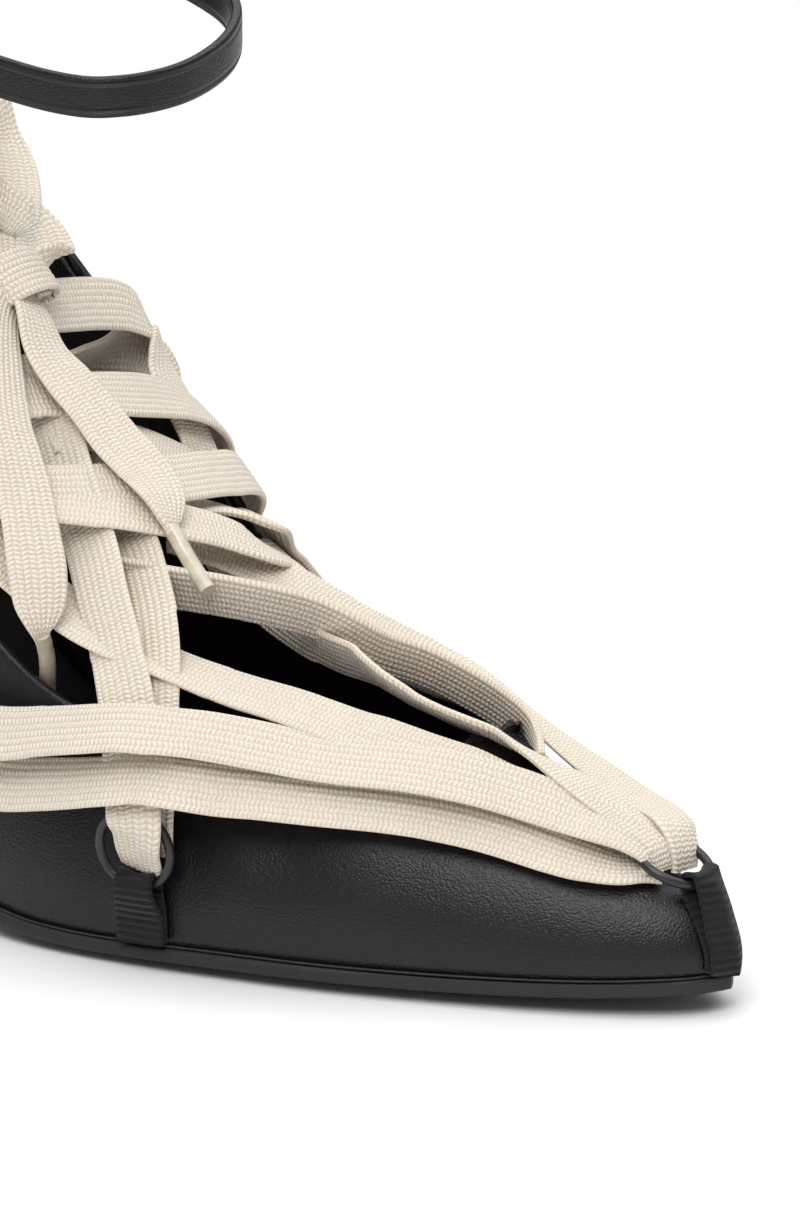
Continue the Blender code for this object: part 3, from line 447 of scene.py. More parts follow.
# Soft folds in the wall where the foot bends it: (start, end, half width, depth), a trough below zero
FOLDS = (
    ((132.0, -35.0, 29.0), (139.0, -34.0, 9.0), 3.0, -0.3),
    ((139.0, -31.0, 29.0), (147.0, -31.0, 9.0), 3.2, 0.24),
    ((147.0, -28.0, 29.0), (156.0, -27.0, 9.0), 3.4, -0.24),
    ((176.0, -12.0, 27.0), (191.0, -11.0, 18.0), 3.2, 0.2),
    ((117.0, -38.0, 26.0), (120.0, -38.0, 8.0), 3.0, -0.22),
    ((129.0, 33.0, 30.0), (136.0, 34.0, 9.0), 3.0, -0.3),
    ((137.0, 29.0, 30.0), (145.0, 30.0, 9.0), 3.2, 0.24),
    ((92.0, -37.0, 42.0), (101.0, -38.0, 16.0), 3.6, -0.2),
    ((-20.0, -16.0, 112.0), (4.0, -22.0, 104.0), 4.0, -0.2),
    ((-20.0, 16.0, 112.0), (4.0, 21.0, 104.0), 4.0, -0.2),
)


class Slot(str, Enum):
    """The record's material slots."""

    LEATHER = "leather"
    SOLE = "sole"
    LINING = "lining"
    HEEL_TIP = "heel_tip"
    RIBBON = "ribbon"
    RING = "ring"
    LACE = "lace"
    AGLET = "aglet"


def linear(code: str) -> tuple[float, ...]:
    """Turn an sRGB hex colour to linear RGBA.

    Args:
        code: The colour, such as "#e6dfd2".

    Returns:
        Four linear values, the last one 1.
    """
    values = [int(code[i:i + 2], 16) / 255.0 for i in (1, 3, 5)]
    turned = [v / 12.92 if v <= 0.04045 else ((v + 0.055) / 1.055) ** 2.4 for v in values]
    return (*turned, 1.0)


def add_node(tree: bpy.types.NodeTree, kind: str, settings: dict,
             links: dict | None = None) -> bpy.types.Node:
    """Add a node with its settings and links.

    Args:
        tree: The node tree that gets it.
        kind: The node's type.
        settings: Values of its inputs, by name or number, or of its own properties.
        links: Output sockets to join to its inputs, by name or number.

    Returns:
        The node.
    """
    node = tree.nodes.new(kind)
    for key, value in settings.items():
        if key == "stops":
            ramp = node.color_ramp
            while len(ramp.elements) < len(value):
                ramp.elements.new(0.5)
            for element, (position, code) in zip(ramp.elements, value):
                element.position = position
                element.color = linear(code)
        elif isinstance(key, int) or key in node.inputs:
            node.inputs[key].default_value = value
        else:
            setattr(node, key, value)
    for key, socket in (links or {}).items():
        tree.links.new(socket, node.inputs[key])
    return node


@dataclass(frozen=True)
class Finish:
    """What every finish has: a name, a colour and a roughness."""

    name: str
    colour: str
    roughness: float

    def start(self, **sockets: float) -> tuple[bpy.types.Material, bpy.types.NodeTree, bpy.types.Node]:
        """Make the material with its Principled shader.

        Args:
            sockets: Values of the shader's sockets, with _ for a space.

        Returns:
            The material, its node tree and its shader.
        """
        material = bpy.data.materials.new(self.name)
        material.use_nodes = True
        tree = material.node_tree
        shader = tree.nodes["Principled BSDF"]
        shader.inputs["Base Color"].default_value = linear(self.colour)
        shader.inputs["Roughness"].default_value = self.roughness
        for key, value in sockets.items():
            shader.inputs[key.replace("_", " ")].default_value = value
        return material, tree, shader

    @staticmethod
    def bump(tree: bpy.types.NodeTree, shader: bpy.types.Node, height: bpy.types.NodeSocket,
             relief_mm: float, strength: float = 1.0) -> None:
        """Join a height pattern to the shader's normal."""
        node = add_node(tree, "ShaderNodeBump",
                        {"Strength": strength, "Distance": relief_mm * MM}, {"Height": height})
        tree.links.new(node.outputs["Normal"], shader.inputs["Normal"])


@dataclass(frozen=True)
class GrainLeather(Finish):
    """Chrome tanned calf leather, rolled to a fine pebble grain and waxed.

    It gives the eye small domes that break the highlight into grey points, on a soft sheen.
    """

    pebble_mm: float = 0.4
    relief_mm: float = 0.075
    coat: float = 0.05
    stitched_edge: bool = False
    # How far below the rim the stitch line is pressed in, and how wide its trough is.
    stitch_at_mm: float = 2.3
    trough_mm: float = 0.55

    def build(self) -> bpy.types.Material:
        """Make the material: pebbles, pores, a slow change of gloss and the pressed stitch line."""
        material, tree, shader = self.start(
            Coat_Weight=self.coat, Coat_Roughness=0.32, Specular_IOR_Level=0.42)
        place = add_node(tree, "ShaderNodeTexCoord", {}).outputs["Object"]
        pebbles = add_node(tree, "ShaderNodeTexVoronoi",
                           {"feature": "SMOOTH_F1", "Scale": 1.0 / (self.pebble_mm * MM),
                            "Smoothness": 0.25, "Randomness": 0.9}, {"Vector": place})
        pores = add_node(tree, "ShaderNodeTexNoise",
                         {"Scale": 4.0 / (self.pebble_mm * MM), "Detail": 2.0}, {"Vector": place})
        slow = add_node(tree, "ShaderNodeTexNoise", {"Scale": 45.0, "Detail": 3.0}, {"Vector": place})
        domes = add_node(tree, "ShaderNodeMath", {"operation": "MULTIPLY", 1: -1.0},
                         {0: pebbles.outputs["Distance"]})
        height = add_node(tree, "ShaderNodeMath", {"operation": "MULTIPLY_ADD", 1: 0.25},
                          {0: pores.outputs["Fac"], 2: domes.outputs[0]}).outputs[0]
        if self.stitched_edge:
            rim = add_node(tree, "ShaderNodeAttribute", {"attribute_name": "rim"})
            away = add_node(tree, "ShaderNodeMath", {"operation": "SUBTRACT", 1: self.stitch_at_mm},
                            {0: rim.outputs["Fac"]})
            near = add_node(tree, "ShaderNodeMath", {"operation": "ABSOLUTE"}, {0: away.outputs[0]})
            trough = add_node(tree, "ShaderNodeMapRange",
                              {"From Min": 0.0, "From Max": self.trough_mm, "To Min": -6.0,
                               "To Max": 0.0, "interpolation_type": "SMOOTHSTEP"},
                              {"Value": near.outputs[0]})
            height = add_node(tree, "ShaderNodeMath", {"operation": "ADD"},
                              {0: height, 1: trough.outputs[0]}).outputs[0]
        gloss = add_node(tree, "ShaderNodeMapRange",
                         {"To Min": self.roughness - 0.05, "To Max": self.roughness + 0.07},
                         {"Value": slow.outputs["Fac"]})
        tree.links.new(gloss.outputs[0], shader.inputs["Roughness"])
        self.bump(tree, shader, height, self.relief_mm)
        return material


@dataclass(frozen=True)
class BraidedCotton(Finish):
    """Flat tubular cotton braid, natural cream: columns of slanted stitches with soft valleys.

    The valleys between the stitches carry a painted warm shade in the colour, and the subsurface also
    lets light go into the yarn and come out again.
    """

    # The painted shade colour that the valleys between the ribs and stitches are coloured towards.
    shade: str = "#a98058"
    stitch_mm: float = 0.78
    slant: float = 0.4
    relief_mm: float = 0.24

    def build(self) -> bpy.types.Material:
        """Make the material from the piece's own UV: U counts the ribs and V is millimetres along."""
        material, tree, shader = self.start(
            Subsurface_Weight=0.22, Subsurface_Scale=0.0016, Sheen_Weight=0.15,
            Sheen_Roughness=0.6, Specular_IOR_Level=0.25)
        shader.inputs["Subsurface Radius"].default_value = (1.0, 0.55, 0.28)
        place = add_node(tree, "ShaderNodeTexCoord", {})
        axes = add_node(tree, "ShaderNodeSeparateXYZ", {}, {0: place.outputs["UV"]})
        swing = add_node(tree, "ShaderNodeMath", {"operation": "PINGPONG", 1: 1.0}, {0: axes.outputs[0]})
        along = add_node(tree, "ShaderNodeMath", {"operation": "DIVIDE", 1: self.stitch_mm},
                         {0: axes.outputs[1]})
        phase = add_node(tree, "ShaderNodeMath", {"operation": "MULTIPLY_ADD", 1: self.slant},
                         {0: swing.outputs[0], 2: along.outputs[0]})
        turn = add_node(tree, "ShaderNodeMath", {"operation": "MULTIPLY", 1: 2.0 * math.pi},
                        {0: phase.outputs[0]})
        wave = add_node(tree, "ShaderNodeMath", {"operation": "COSINE"}, {0: turn.outputs[0]})
        stitches = add_node(tree, "ShaderNodeMapRange", {"From Min": -1.0}, {"Value": wave.outputs[0]})
        across = add_node(tree, "ShaderNodeMath", {"operation": "MULTIPLY", 1: math.pi},
                          {0: axes.outputs[0]})
        ribs = add_node(tree, "ShaderNodeMath", {"operation": "SINE"}, {0: across.outputs[0]})
        crown = add_node(tree, "ShaderNodeMath", {"operation": "ABSOLUTE"}, {0: ribs.outputs[0]})
        raised = add_node(tree, "ShaderNodeMath", {"operation": "POWER", 1: 0.9}, {0: crown.outputs[0]})
        height = add_node(tree, "ShaderNodeMath", {"operation": "MULTIPLY"},
                          {0: raised.outputs[0], 1: stitches.outputs[0]})
        fuzz = add_node(tree, "ShaderNodeTexNoise", {"Scale": 2600.0, "Detail": 2.0},
                        {"Vector": place.outputs["Object"]})
        rough = add_node(tree, "ShaderNodeMath", {"operation": "MULTIPLY_ADD", 1: 0.35},
                         {0: fuzz.outputs["Fac"], 2: height.outputs[0]})
        # Painted shade: the valleys of the ribs and stitches are coloured down to the warm shade colour,
        # with fine fuzz noise.
        tint = add_node(tree, "ShaderNodeValToRGB",
                        {"stops": ((0.08, self.shade), (0.55, self.colour))},
                        {0: rough.outputs[0]})
        mixed = add_node(tree, "ShaderNodeMix", {"data_type": "RGBA", 0: 0.55, 6: linear(self.colour)},
                         {7: tint.outputs[0]})
        tree.links.new(mixed.outputs[2], shader.inputs["Base Color"])
        self.bump(tree, shader, rough.outputs[0], self.relief_mm)
        return material


@dataclass(frozen=True)
class Grosgrain(Finish):
    """Black rayon grosgrain ribbon: a fine warp over round cross ribs, with a soft dull sheen."""

    rib_mm: float = 1.2
    relief_mm: float = 0.26

    def build(self) -> bpy.types.Material:
        """Make the material from the piece's own UV: U and V are millimetres across and along."""
        material, tree, shader = self.start(Sheen_Weight=0.1, Sheen_Roughness=0.5,
                                            Specular_IOR_Level=0.3)
        place = add_node(tree, "ShaderNodeTexCoord", {})
        axes = add_node(tree, "ShaderNodeSeparateXYZ", {}, {0: place.outputs["UV"]})
        turn = add_node(tree, "ShaderNodeMath",
                        {"operation": "MULTIPLY", 1: 2.0 * math.pi / self.rib_mm}, {0: axes.outputs[1]})
        ribs = add_node(tree, "ShaderNodeMath", {"operation": "COSINE"}, {0: turn.outputs[0]})
        warp = add_node(tree, "ShaderNodeTexNoise", {"Scale": 5200.0, "Detail": 1.0},
                        {"Vector": place.outputs["Object"]})
        height = add_node(tree, "ShaderNodeMath", {"operation": "MULTIPLY_ADD", 1: 0.5},
                          {0: warp.outputs["Fac"], 2: ribs.outputs[0]})
        # Painted shade: the colour goes darker in the valleys between the cross ribs, and the fine warp
        # noise varies it too.
        tint = add_node(tree, "ShaderNodeValToRGB", {"stops": ((0.0, "#07070a"), (1.0, self.colour))},
                        {0: height.outputs[0]})
        tree.links.new(tint.outputs[0], shader.inputs["Base Color"])
        self.bump(tree, shader, height.outputs[0], self.relief_mm)
        return material


@dataclass(frozen=True)
class WornSolid(Finish):
    """A solid that is moulded, painted or lacquered: one colour with fine scuffs in its gloss."""

    metallic: float = 0.0
    coat: float = 0.0
    scuff_mm: float = 3.0
    relief_mm: float = 0.02
    change: str = "#000000"

    def build(self) -> bpy.types.Material:
        """Make the material, whose colour and gloss change over a scuff's size."""
        material, tree, shader = self.start(Metallic=self.metallic, Coat_Weight=self.coat,
                                            Coat_Roughness=0.2)
        place = add_node(tree, "ShaderNodeTexCoord", {}).outputs["Object"]
        scuffs = add_node(tree, "ShaderNodeTexNoise",
                          {"Scale": 1.0 / (self.scuff_mm * MM), "Detail": 5.0, "Roughness": 0.65},
                          {"Vector": place})
        tint = add_node(tree, "ShaderNodeValToRGB",
                        {"stops": ((0.3, self.change), (0.6, self.colour))}, {0: scuffs.outputs["Fac"]})
        gloss = add_node(tree, "ShaderNodeMapRange",
                         {"To Min": self.roughness - 0.1, "To Max": self.roughness + 0.1},
                         {"Value": scuffs.outputs["Fac"]})
        tree.links.new(tint.outputs[0], shader.inputs["Base Color"])
        tree.links.new(gloss.outputs[0], shader.inputs["Roughness"])
        self.bump(tree, shader, scuffs.outputs["Fac"], self.relief_mm)
        return material


@dataclass
class Finishes:
    """Every material of the shoe, made once."""

    # Black calf with a blue-grey highlight, and the same leather where its edge is stitched.
    upper: bpy.types.Material = field(default_factory=lambda: GrainLeather(
        "black_pebbled_calf", "#06070a", 0.36, stitched_edge=True).build())
    plain_leather: bpy.types.Material = field(default_factory=lambda: GrainLeather(
        "black_calf_covering", "#06070a", 0.36).build())
    # Thin smooth goat lining, dull and a little brown.
    lining: bpy.types.Material = field(default_factory=lambda: GrainLeather(
        "black_goat_lining", "#0b0a0a", 0.6, pebble_mm=0.5, relief_mm=0.015, coat=0.0).build())
    # Leather sole with an inked edge, dull charcoal with rubbed places.
    sole: bpy.types.Material = field(default_factory=lambda: WornSolid(
        "inked_sole_leather", "#1e1e21", 0.6, scuff_mm=2.0, relief_mm=0.06, change="#17171a").build())
    # Hard polyurethane top piece, moulded and matte.
    heel_tip: bpy.types.Material = field(default_factory=lambda: WornSolid(
        "moulded_polyurethane", "#161617", 0.55, change="#0e0e0f").build())
    # Steel wire under a matte black lacquer.
    wire: bpy.types.Material = field(default_factory=lambda: WornSolid(
        "black_lacquered_wire", "#17181a", 0.42, coat=0.25, scuff_mm=1.2, change="#0c0c0e").build())
    ribbon: bpy.types.Material = field(default_factory=lambda: Grosgrain(
        "black_grosgrain", "#101014", 0.75).build())
    # Grey polyester sewing thread, polished.
    thread: bpy.types.Material = field(default_factory=lambda: WornSolid(
        "grey_polyester_thread", "#3a3a3e", 0.5, scuff_mm=0.4, change="#1b1b1d").build())
    # Dried cement along the sole's joint, pale and dull.
    cement: bpy.types.Material = field(default_factory=lambda: WornSolid(
        "dried_sole_cement", "#2f2f30", 0.7, scuff_mm=1.5, change="#1c1c1d").build())
    lace: bpy.types.Material = field(default_factory=lambda: BraidedCotton(
        "cream_cotton_braid", "#eae2d4", 0.85).build())
    # Clear acetate film rolled over the lace's end, cream and glossy.
    aglet: bpy.types.Material = field(default_factory=lambda: WornSolid(
        "cream_acetate_tube", "#cfc6b4", 0.3, coat=0.5, scuff_mm=2.5, change="#bbab92").build())


def merged_copy(node: str) -> bmesh.types.BMesh:
    """Copy a CAD node's mesh with its doubles merged and its triangles joined to quads."""
    made = bmesh.new()
    made.from_mesh(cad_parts[node].data)
    bmesh.ops.remove_doubles(made, verts=made.verts, dist=MERGE)
    flat = math.radians(40.0)
    bmesh.ops.join_triangles(made, faces=made.faces, angle_face_threshold=flat,
                             angle_shape_threshold=flat)
    return made


def refined(made: bmesh.types.BMesh, levels: int, crease: float = 0.7,
            sharp_deg: float = 50.0) -> bmesh.types.BMesh:
    """Subdivide a cage smoothly, with its sharp edges creased.

    Args:
        made: The cage, which is freed.
        levels: Subdivision levels.
        crease: How crisp the sharp edges stay, from 0 to 1.
        sharp_deg: The face angle from which an edge counts as sharp.

    Returns:
        The finer mesh.
    """
    layer = made.edges.layers.float.get("crease_edge") or made.edges.layers.float.new("crease_edge")
    for edge in made.edges:
        if len(edge.link_faces) == 2 and edge.calc_face_angle(0.0) > math.radians(sharp_deg):
            edge[layer] = crease
    mesh = bpy.data.meshes.new("cage")
    made.to_mesh(mesh)
    made.free()
    cage = bpy.data.objects.new("cage", mesh)
    bpy.context.scene.collection.objects.link(cage)
    smooth = cage.modifiers.new("smooth", "SUBSURF")
    smooth.levels = smooth.render_levels = levels
    graph = bpy.context.evaluated_depsgraph_get()
    finer = bpy.data.meshes.new_from_object(cage.evaluated_get(graph))
    out = bmesh.new()
    out.from_mesh(finer)
    bpy.data.objects.remove(cage)
    bpy.data.meshes.remove(finer)
    bpy.data.meshes.remove(mesh)
    return out


def place_piece(name: str, made: bmesh.types.BMesh, material: bpy.types.Material,
                stands_for: tuple[str, ...] = (), sharp_deg: float = 45.0) -> bpy.types.Object:
    """Turn a finished bmesh into a piece of the shoe that rides on its body.

    Args:
        name: The piece's name.
        made: Its mesh, which is freed.
        material: Its finish.
        stands_for: CAD nodes that it replaces.
        sharp_deg: The face angle from which shading is crisp.

    Returns:
        The piece.
    """
    mesh = bpy.data.meshes.new(name)
    made.to_mesh(mesh)
    made.free()
    mesh.materials.append(material)
    mesh.shade_smooth()
    mesh.set_sharp_from_angle(angle=math.radians(sharp_deg))
    piece = bpy.data.objects.new(name, mesh)
    bpy.context.scene.collection.objects.link(piece)
    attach(piece, BODY)
    if stands_for:
        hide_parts(*stands_for)
    LOG.info("%s: %d faces", name, len(mesh.polygons))
    return piece


@dataclass
class Station:
    """A place on a route: its centre, its three directions, its width and its run, in metres."""

    centre: Vector
    along: Vector
    out: Vector
    side: Vector
    width: float
    run: float


def spline(rows: tuple, steps: int, closed: bool = False) -> list[tuple]:
    """Run smoothly through the rows of a table.

    Args:
        rows: Rows of numbers.
        steps: Steps from one row to the next.
        closed: Whether the run comes back to its start.

    Returns:
        Rows with the same columns.
    """
    out = []
    count = len(rows)
    spans = count if closed else count - 1

    def row(i: int) -> tuple:
        return rows[i % count] if closed else rows[min(max(i, 0), count - 1)]

    for i in range(spans):
        for k in range(steps):
            t = k / steps
            out.append(tuple(
                0.5 * (2 * b + (c - a) * t + (2 * a - 5 * b + 4 * c - d) * t * t
                       + (3 * b - a - 3 * c + d) * t ** 3)
                for a, b, c, d in zip(row(i - 1), row(i), row(i + 1), row(i + 2))
            ))
    if not closed:
        out.append(tuple(rows[-1]))
    return out


def nearest_on_core(p: Vector) -> Vector:
    """The nearest place on the line through the middle of the foot, in millimetres."""
    places = []
    for start, end in zip(CORE_LINE, CORE_LINE[1:]):
        a, b = Vector(start), Vector(end)
        t = min(max((p - a).dot(b - a) / (b - a).length_squared, 0.0), 1.0)
        places.append(a.lerp(b, t))
    return min(places, key=lambda q: (p - q).length)


@dataclass(frozen=True)
class Route:
    """A flat strip's middle line with its width and roll at each row."""

    rows: tuple
    kept_wide: tuple[float, float, float] | None = None
    step_mm: float = 0.9

    def stations(self) -> list[Station]:
        """Even stations along the route, whose flat side faces away from the foot."""
        dense = spline(self.rows, 12)
        runs = [0.0]
        for a, b in zip(dense, dense[1:]):
            runs.append(runs[-1] + (Vector(b[:3]) - Vector(a[:3])).length)
        count = max(int(runs[-1] / self.step_mm), 6)
        table = np.array(dense)
        wanted = np.linspace(0.0, runs[-1], count + 1)
        even = np.stack([np.interp(wanted, runs, table[:, k]) for k in range(5)], 1)
        out = []
        for i, row in enumerate(even):
            p = Vector(row[:3])
            ahead = Vector(even[min(i + 1, count)][:3])
            behind = Vector(even[max(i - 1, 0)][:3])
            along = (ahead - behind).normalized()
            if self.kept_wide:
                away = Vector(self.kept_wide).cross(along).normalized()
            else:
                away = p - nearest_on_core(p)
                away = (away - along * away.dot(along)).normalized()
                away = Matrix.Rotation(math.radians(row[4]), 3, along) @ away
            out.append(Station(p * MM, along, away, along.cross(away), row[3] * MM, wanted[i] * MM))
        return out

    def length(self) -> float:
        """The route's length in metres."""
        return self.stations()[-1].run


@dataclass(frozen=True)
class FlatLace:
    """A flat braided lace: soft ribs along it, thin, with round selvedges."""

    ribs: int = 8
    per_rib: int = 4
    thick_mm: float = 1.2
    relief_mm: float = 0.16
    edge_power: float = 10.0

    def height(self, s: float) -> float:
        """Half the thickness at s, from -1 to 1 across, in metres."""
        body = (1.0 - abs(s) ** self.edge_power) ** 0.5 * self.thick_mm / 2.0
        rib = abs(math.sin(math.pi * self.ribs * (s + 1.0) / 2.0)) - 0.5
        return max(body + rib * self.relief_mm * (1.0 - abs(s) ** 6), 0.0) * MM

    def build(self, route: Route) -> bmesh.types.BMesh:
        """Bend a grid round the route into a closed strip with its own UV."""
        stations = route.stations()
        face = self.ribs * self.per_rib
        made = bmesh.new()
        bmesh.ops.create_grid(made, x_segments=len(stations) - 1, y_segments=2 * face, size=0.5)
        uv = made.loops.layers.uv.new("UVMap")
        keys = {v: (round((v.co.x + 0.5) * (len(stations) - 1)), round((v.co.y + 0.5) * 2 * face))
                for v in made.verts}
        for polygon in made.faces:
            for loop in polygon.loops:
                i, k = keys[loop.vert]
                across = k if k <= face else 2 * face - k
                loop[uv].uv = (across / self.per_rib, stations[i].run / MM)
        for v, (i, k) in keys.items():
            at = stations[i]
            front = k <= face
            s = 2.0 * (k if front else 2 * face - k) / face - 1.0
            lift = self.height(s) * (1.0 if front else -1.0)
            v.co = at.centre + at.side * (s * at.width / 2.0) + at.out * lift
        bmesh.ops.remove_doubles(made, verts=made.verts, dist=MERGE / 4.0)
        ends = [e for e in made.edges if e.is_boundary]
        bmesh.ops.holes_fill(made, edges=ends, sides=0)
        bmesh.ops.recalc_face_normals(made, faces=made.faces)
        return made


def round_tube(points: list[Vector], radius: float, sides: int = 12) -> bmesh.types.BMesh:
    """Bend a grid into a capped round tube along points, all in metres."""
    made = bmesh.new()
    bmesh.ops.create_grid(made, x_segments=len(points) - 1, y_segments=sides, size=0.5)
    side = None
    frames = []
    for i, p in enumerate(points):
        along = (points[min(i + 1, len(points) - 1)] - points[max(i - 1, 0)]).normalized()
        side = along.orthogonal() if side is None else side - along * side.dot(along)
        side.normalize()
        frames.append((p, side.copy(), along.cross(side)))
    for v in made.verts:
        i = round((v.co.x + 0.5) * (len(points) - 1))
        turn = 2.0 * math.pi * (v.co.y + 0.5)
        p, a, b = frames[i]
        v.co = p + (a * math.cos(turn) + b * math.sin(turn)) * radius
    bmesh.ops.remove_doubles(made, verts=made.verts, dist=MERGE / 4.0)
    bmesh.ops.holes_fill(made, edges=[e for e in made.edges if e.is_boundary], sides=0)
    bmesh.ops.recalc_face_normals(made, faces=made.faces)
    return made


def joined(parts: list[bmesh.types.BMesh]) -> bmesh.types.BMesh:
    """Put several bmeshes into one, and free them."""
    out = bmesh.new()
    for part in parts:
        mesh = bpy.data.meshes.new("part")
        part.to_mesh(mesh)
        part.free()
        out.from_mesh(mesh)
        bpy.data.meshes.remove(mesh)
    return out


@dataclass
class StitchRow:
    """A row of lock stitches: short rounded threads end to end along a line."""

    pitch: float = 2.3 * MM
    share: float = 0.78
    radius: float = 0.2 * MM

    def build(self, points: list[Vector], ups: list[Vector]) -> bmesh.types.BMesh:
        """Lay the stitches.

        Args:
            points: The line, close together, in metres.
            ups: The outward direction at each point.

        Returns:
            The stitches in one mesh.
        """
        runs = [0.0]
        for a, b in zip(points, points[1:]):
            runs.append(runs[-1] + (b - a).length)
        seed = bmesh.new()
        bmesh.ops.create_icosphere(seed, subdivisions=1, radius=1.0)
        mesh = bpy.data.meshes.new("stitch")
        seed.to_mesh(mesh)
        seed.free()
        out = bmesh.new()
        place = self.pitch / 2.0
        k = 0
        while place < runs[-1] - self.pitch / 2.0:
            while runs[k + 1] < place:
                k += 1
            t = (place - runs[k]) / max(runs[k + 1] - runs[k], 1e-9)
            p = points[k].lerp(points[k + 1], t)
            along = (points[k + 1] - points[k]).normalized()
            up = ups[k].normalized()
            axes = Matrix((along, up.cross(along), up)).transposed().to_4x4()
            size = Matrix.Diagonal((self.pitch * self.share / 2.0, self.radius * 1.2, self.radius, 1.0))
            before = len(out.verts)
            out.from_mesh(mesh)
            out.verts.ensure_lookup_table()
            new = out.verts[before:]
            bmesh.ops.transform(out, matrix=Matrix.Translation(p) @ axes @ size, verts=new)
            place += self.pitch
        bpy.data.meshes.remove(mesh)
        return out


def edge_loops(made: bmesh.types.BMesh, sharp_deg: float) -> list[list[Vector]]:
    """The closed runs of sharp edges of a mesh, each as its points in order."""
    sharp = {e for e in made.edges
             if len(e.link_faces) == 2 and e.calc_face_angle(0.0) > math.radians(sharp_deg)}
    loops = []
    while sharp:
        edge = sharp.pop()
        start, here = edge.verts
        run = [start.co.copy(), here.co.copy()]
        while True:
            after = [e for e in here.link_edges if e in sharp]
            if not after:
                break
            edge = after[0]
            sharp.discard(edge)
            here = edge.other_vert(here)
            run.append(here.co.copy())
        loops.append(run)
    return loops


@dataclass
class LeatherShell:
    """The upper: one leather wall with a folded, stitched top edge and the seam to the sole."""

    finishes: Finishes
    levels: int = 2
    stitch_drop: float = 2.3 * MM
    made: bmesh.types.BMesh | None = None

    def build(self) -> None:
        """Build the wall, its stitch row and the cement line."""
        cage = merged_copy("upper")
        loops = sorted(edge_loops(cage, 50.0), key=len, reverse=True)[:4]
        LOG.info("upper: %s rim loops", [len(loop) for loop in loops])
        high = sorted(loops, key=lambda run: sum(p.z for p in run) / len(run), reverse=True)
        top = max(high[:2], key=lambda run: sum(abs(p.y) + p.z for p in run) / len(run))
        foot = max(high[2:], key=lambda run: sum(abs(p.y) for p in run) / len(run))
        made = refined(cage, self.levels)
        self.fold(made)
        top_line = self.dense(top)
        self.mark_rim(made, top_line)
        tree = BVHTree.FromBMesh(made)
        self.stitches(tree, top_line)
        self.cement(foot)
        place_piece("upper_leather", made, self.finishes.upper, ("upper",))

    @staticmethod
    def fold(made: bmesh.types.BMesh, marks: int = 10) -> None:
        """Work the soft folds into both faces of the wall together."""
        tree = BVHTree.FromBMesh(made)
        for start, end, half, depth in FOLDS:
            line = [Vector(start).lerp(Vector(end), k / marks) * MM for k in range(marks + 1)]
            laid = KDTree(len(line))
            for k, p in enumerate(line):
                laid.insert(tree.find_nearest(p)[0], k)
            laid.balance()
            for v in made.verts:
                _, k, far = laid.find(v.co)
                share = far / (half * MM)
                if share < 2.5:
                    out = (v.co - nearest_on_core(v.co / MM) * MM).normalized()
                    taper = math.sin(math.pi * (k + 0.5) / (marks + 1))
                    v.co += out * (depth * MM * math.exp(-share * share) * taper)

    @staticmethod
    def dense(run: list[Vector], steps: int = 6) -> list[Vector]:
        """A smooth closer run through a loop's points."""
        return [Vector(p) for p in spline(tuple(tuple(p) for p in run), steps)]

    @staticmethod
    def mark_rim(made: bmesh.types.BMesh, line: list[Vector]) -> None:
        """Write each vertex's distance to the top edge, in millimetres, for the finish."""
        tree = KDTree(len(line))
        for i, p in enumerate(line):
            tree.insert(p, i)
        tree.balance()
        layer = made.verts.layers.float.new("rim")
        for v in made.verts:
            v[layer] = tree.find(v.co)[2] / MM

    def stitches(self, tree: BVHTree, line: list[Vector]) -> None:
        """Sew the row below the top edge, on the outer face."""
        points, ups = [], []
        for p, after in zip(line, line[1:]):
            from_middle = Vector((math.copysign(6.0 * MM, p.x - 60.0 * MM), p.y, 0.0)).normalized()
            _, normal, _, _ = tree.find_nearest(p + from_middle * MM - Vector((0.0, 0.0, MM)))
            down = normal.cross((after - p).normalized())
            down = down if down.dot(from_middle - Vector((0.0, 0.0, 0.5))) > 0.0 else -down
            hit, up, _, _ = tree.find_nearest(p + down * self.stitch_drop + normal * 0.5 * MM)
            points.append(hit + up * 0.02 * MM)
            ups.append(up)
        made = StitchRow().build(points, ups)
        place_piece("topline_stitches", made, self.finishes.thread, sharp_deg=180.0)

    def cement(self, run: list[Vector]) -> None:
        """Lay the thin dried line where the wall meets the sole."""
        line = [p + Vector((0.0, 0.0, -0.1 * MM)) for p in self.dense(run)]
        made = round_tube(line, 0.22 * MM, sides=6)
        place_piece("sole_cement_line", made, self.finishes.cement, sharp_deg=180.0)


@dataclass
class SoleUnit:
    """The outsole, the insole with its lining, the covered heel and its top piece."""

    finishes: Finishes

    def build(self) -> None:
        """Build each from its CAD solid."""
        for node, name, material, slot, levels, crease in (
                ("outsole", "leather_outsole", self.finishes.sole, Slot.SOLE, 2, 0.75),
                ("insole", "lined_insole", self.finishes.lining, Slot.LINING, 2, 0.75),
                ("heel", "covered_heel", self.finishes.plain_leather, Slot.LEATHER, 2, 0.9),
                ("heel_tip", "heel_top_piece", self.finishes.heel_tip, Slot.HEEL_TIP, 2, 0.85),
        ):
            made = refined(merged_copy(node), levels, crease=crease, sharp_deg=40.0)
            place_piece(name, made, material, (node,))


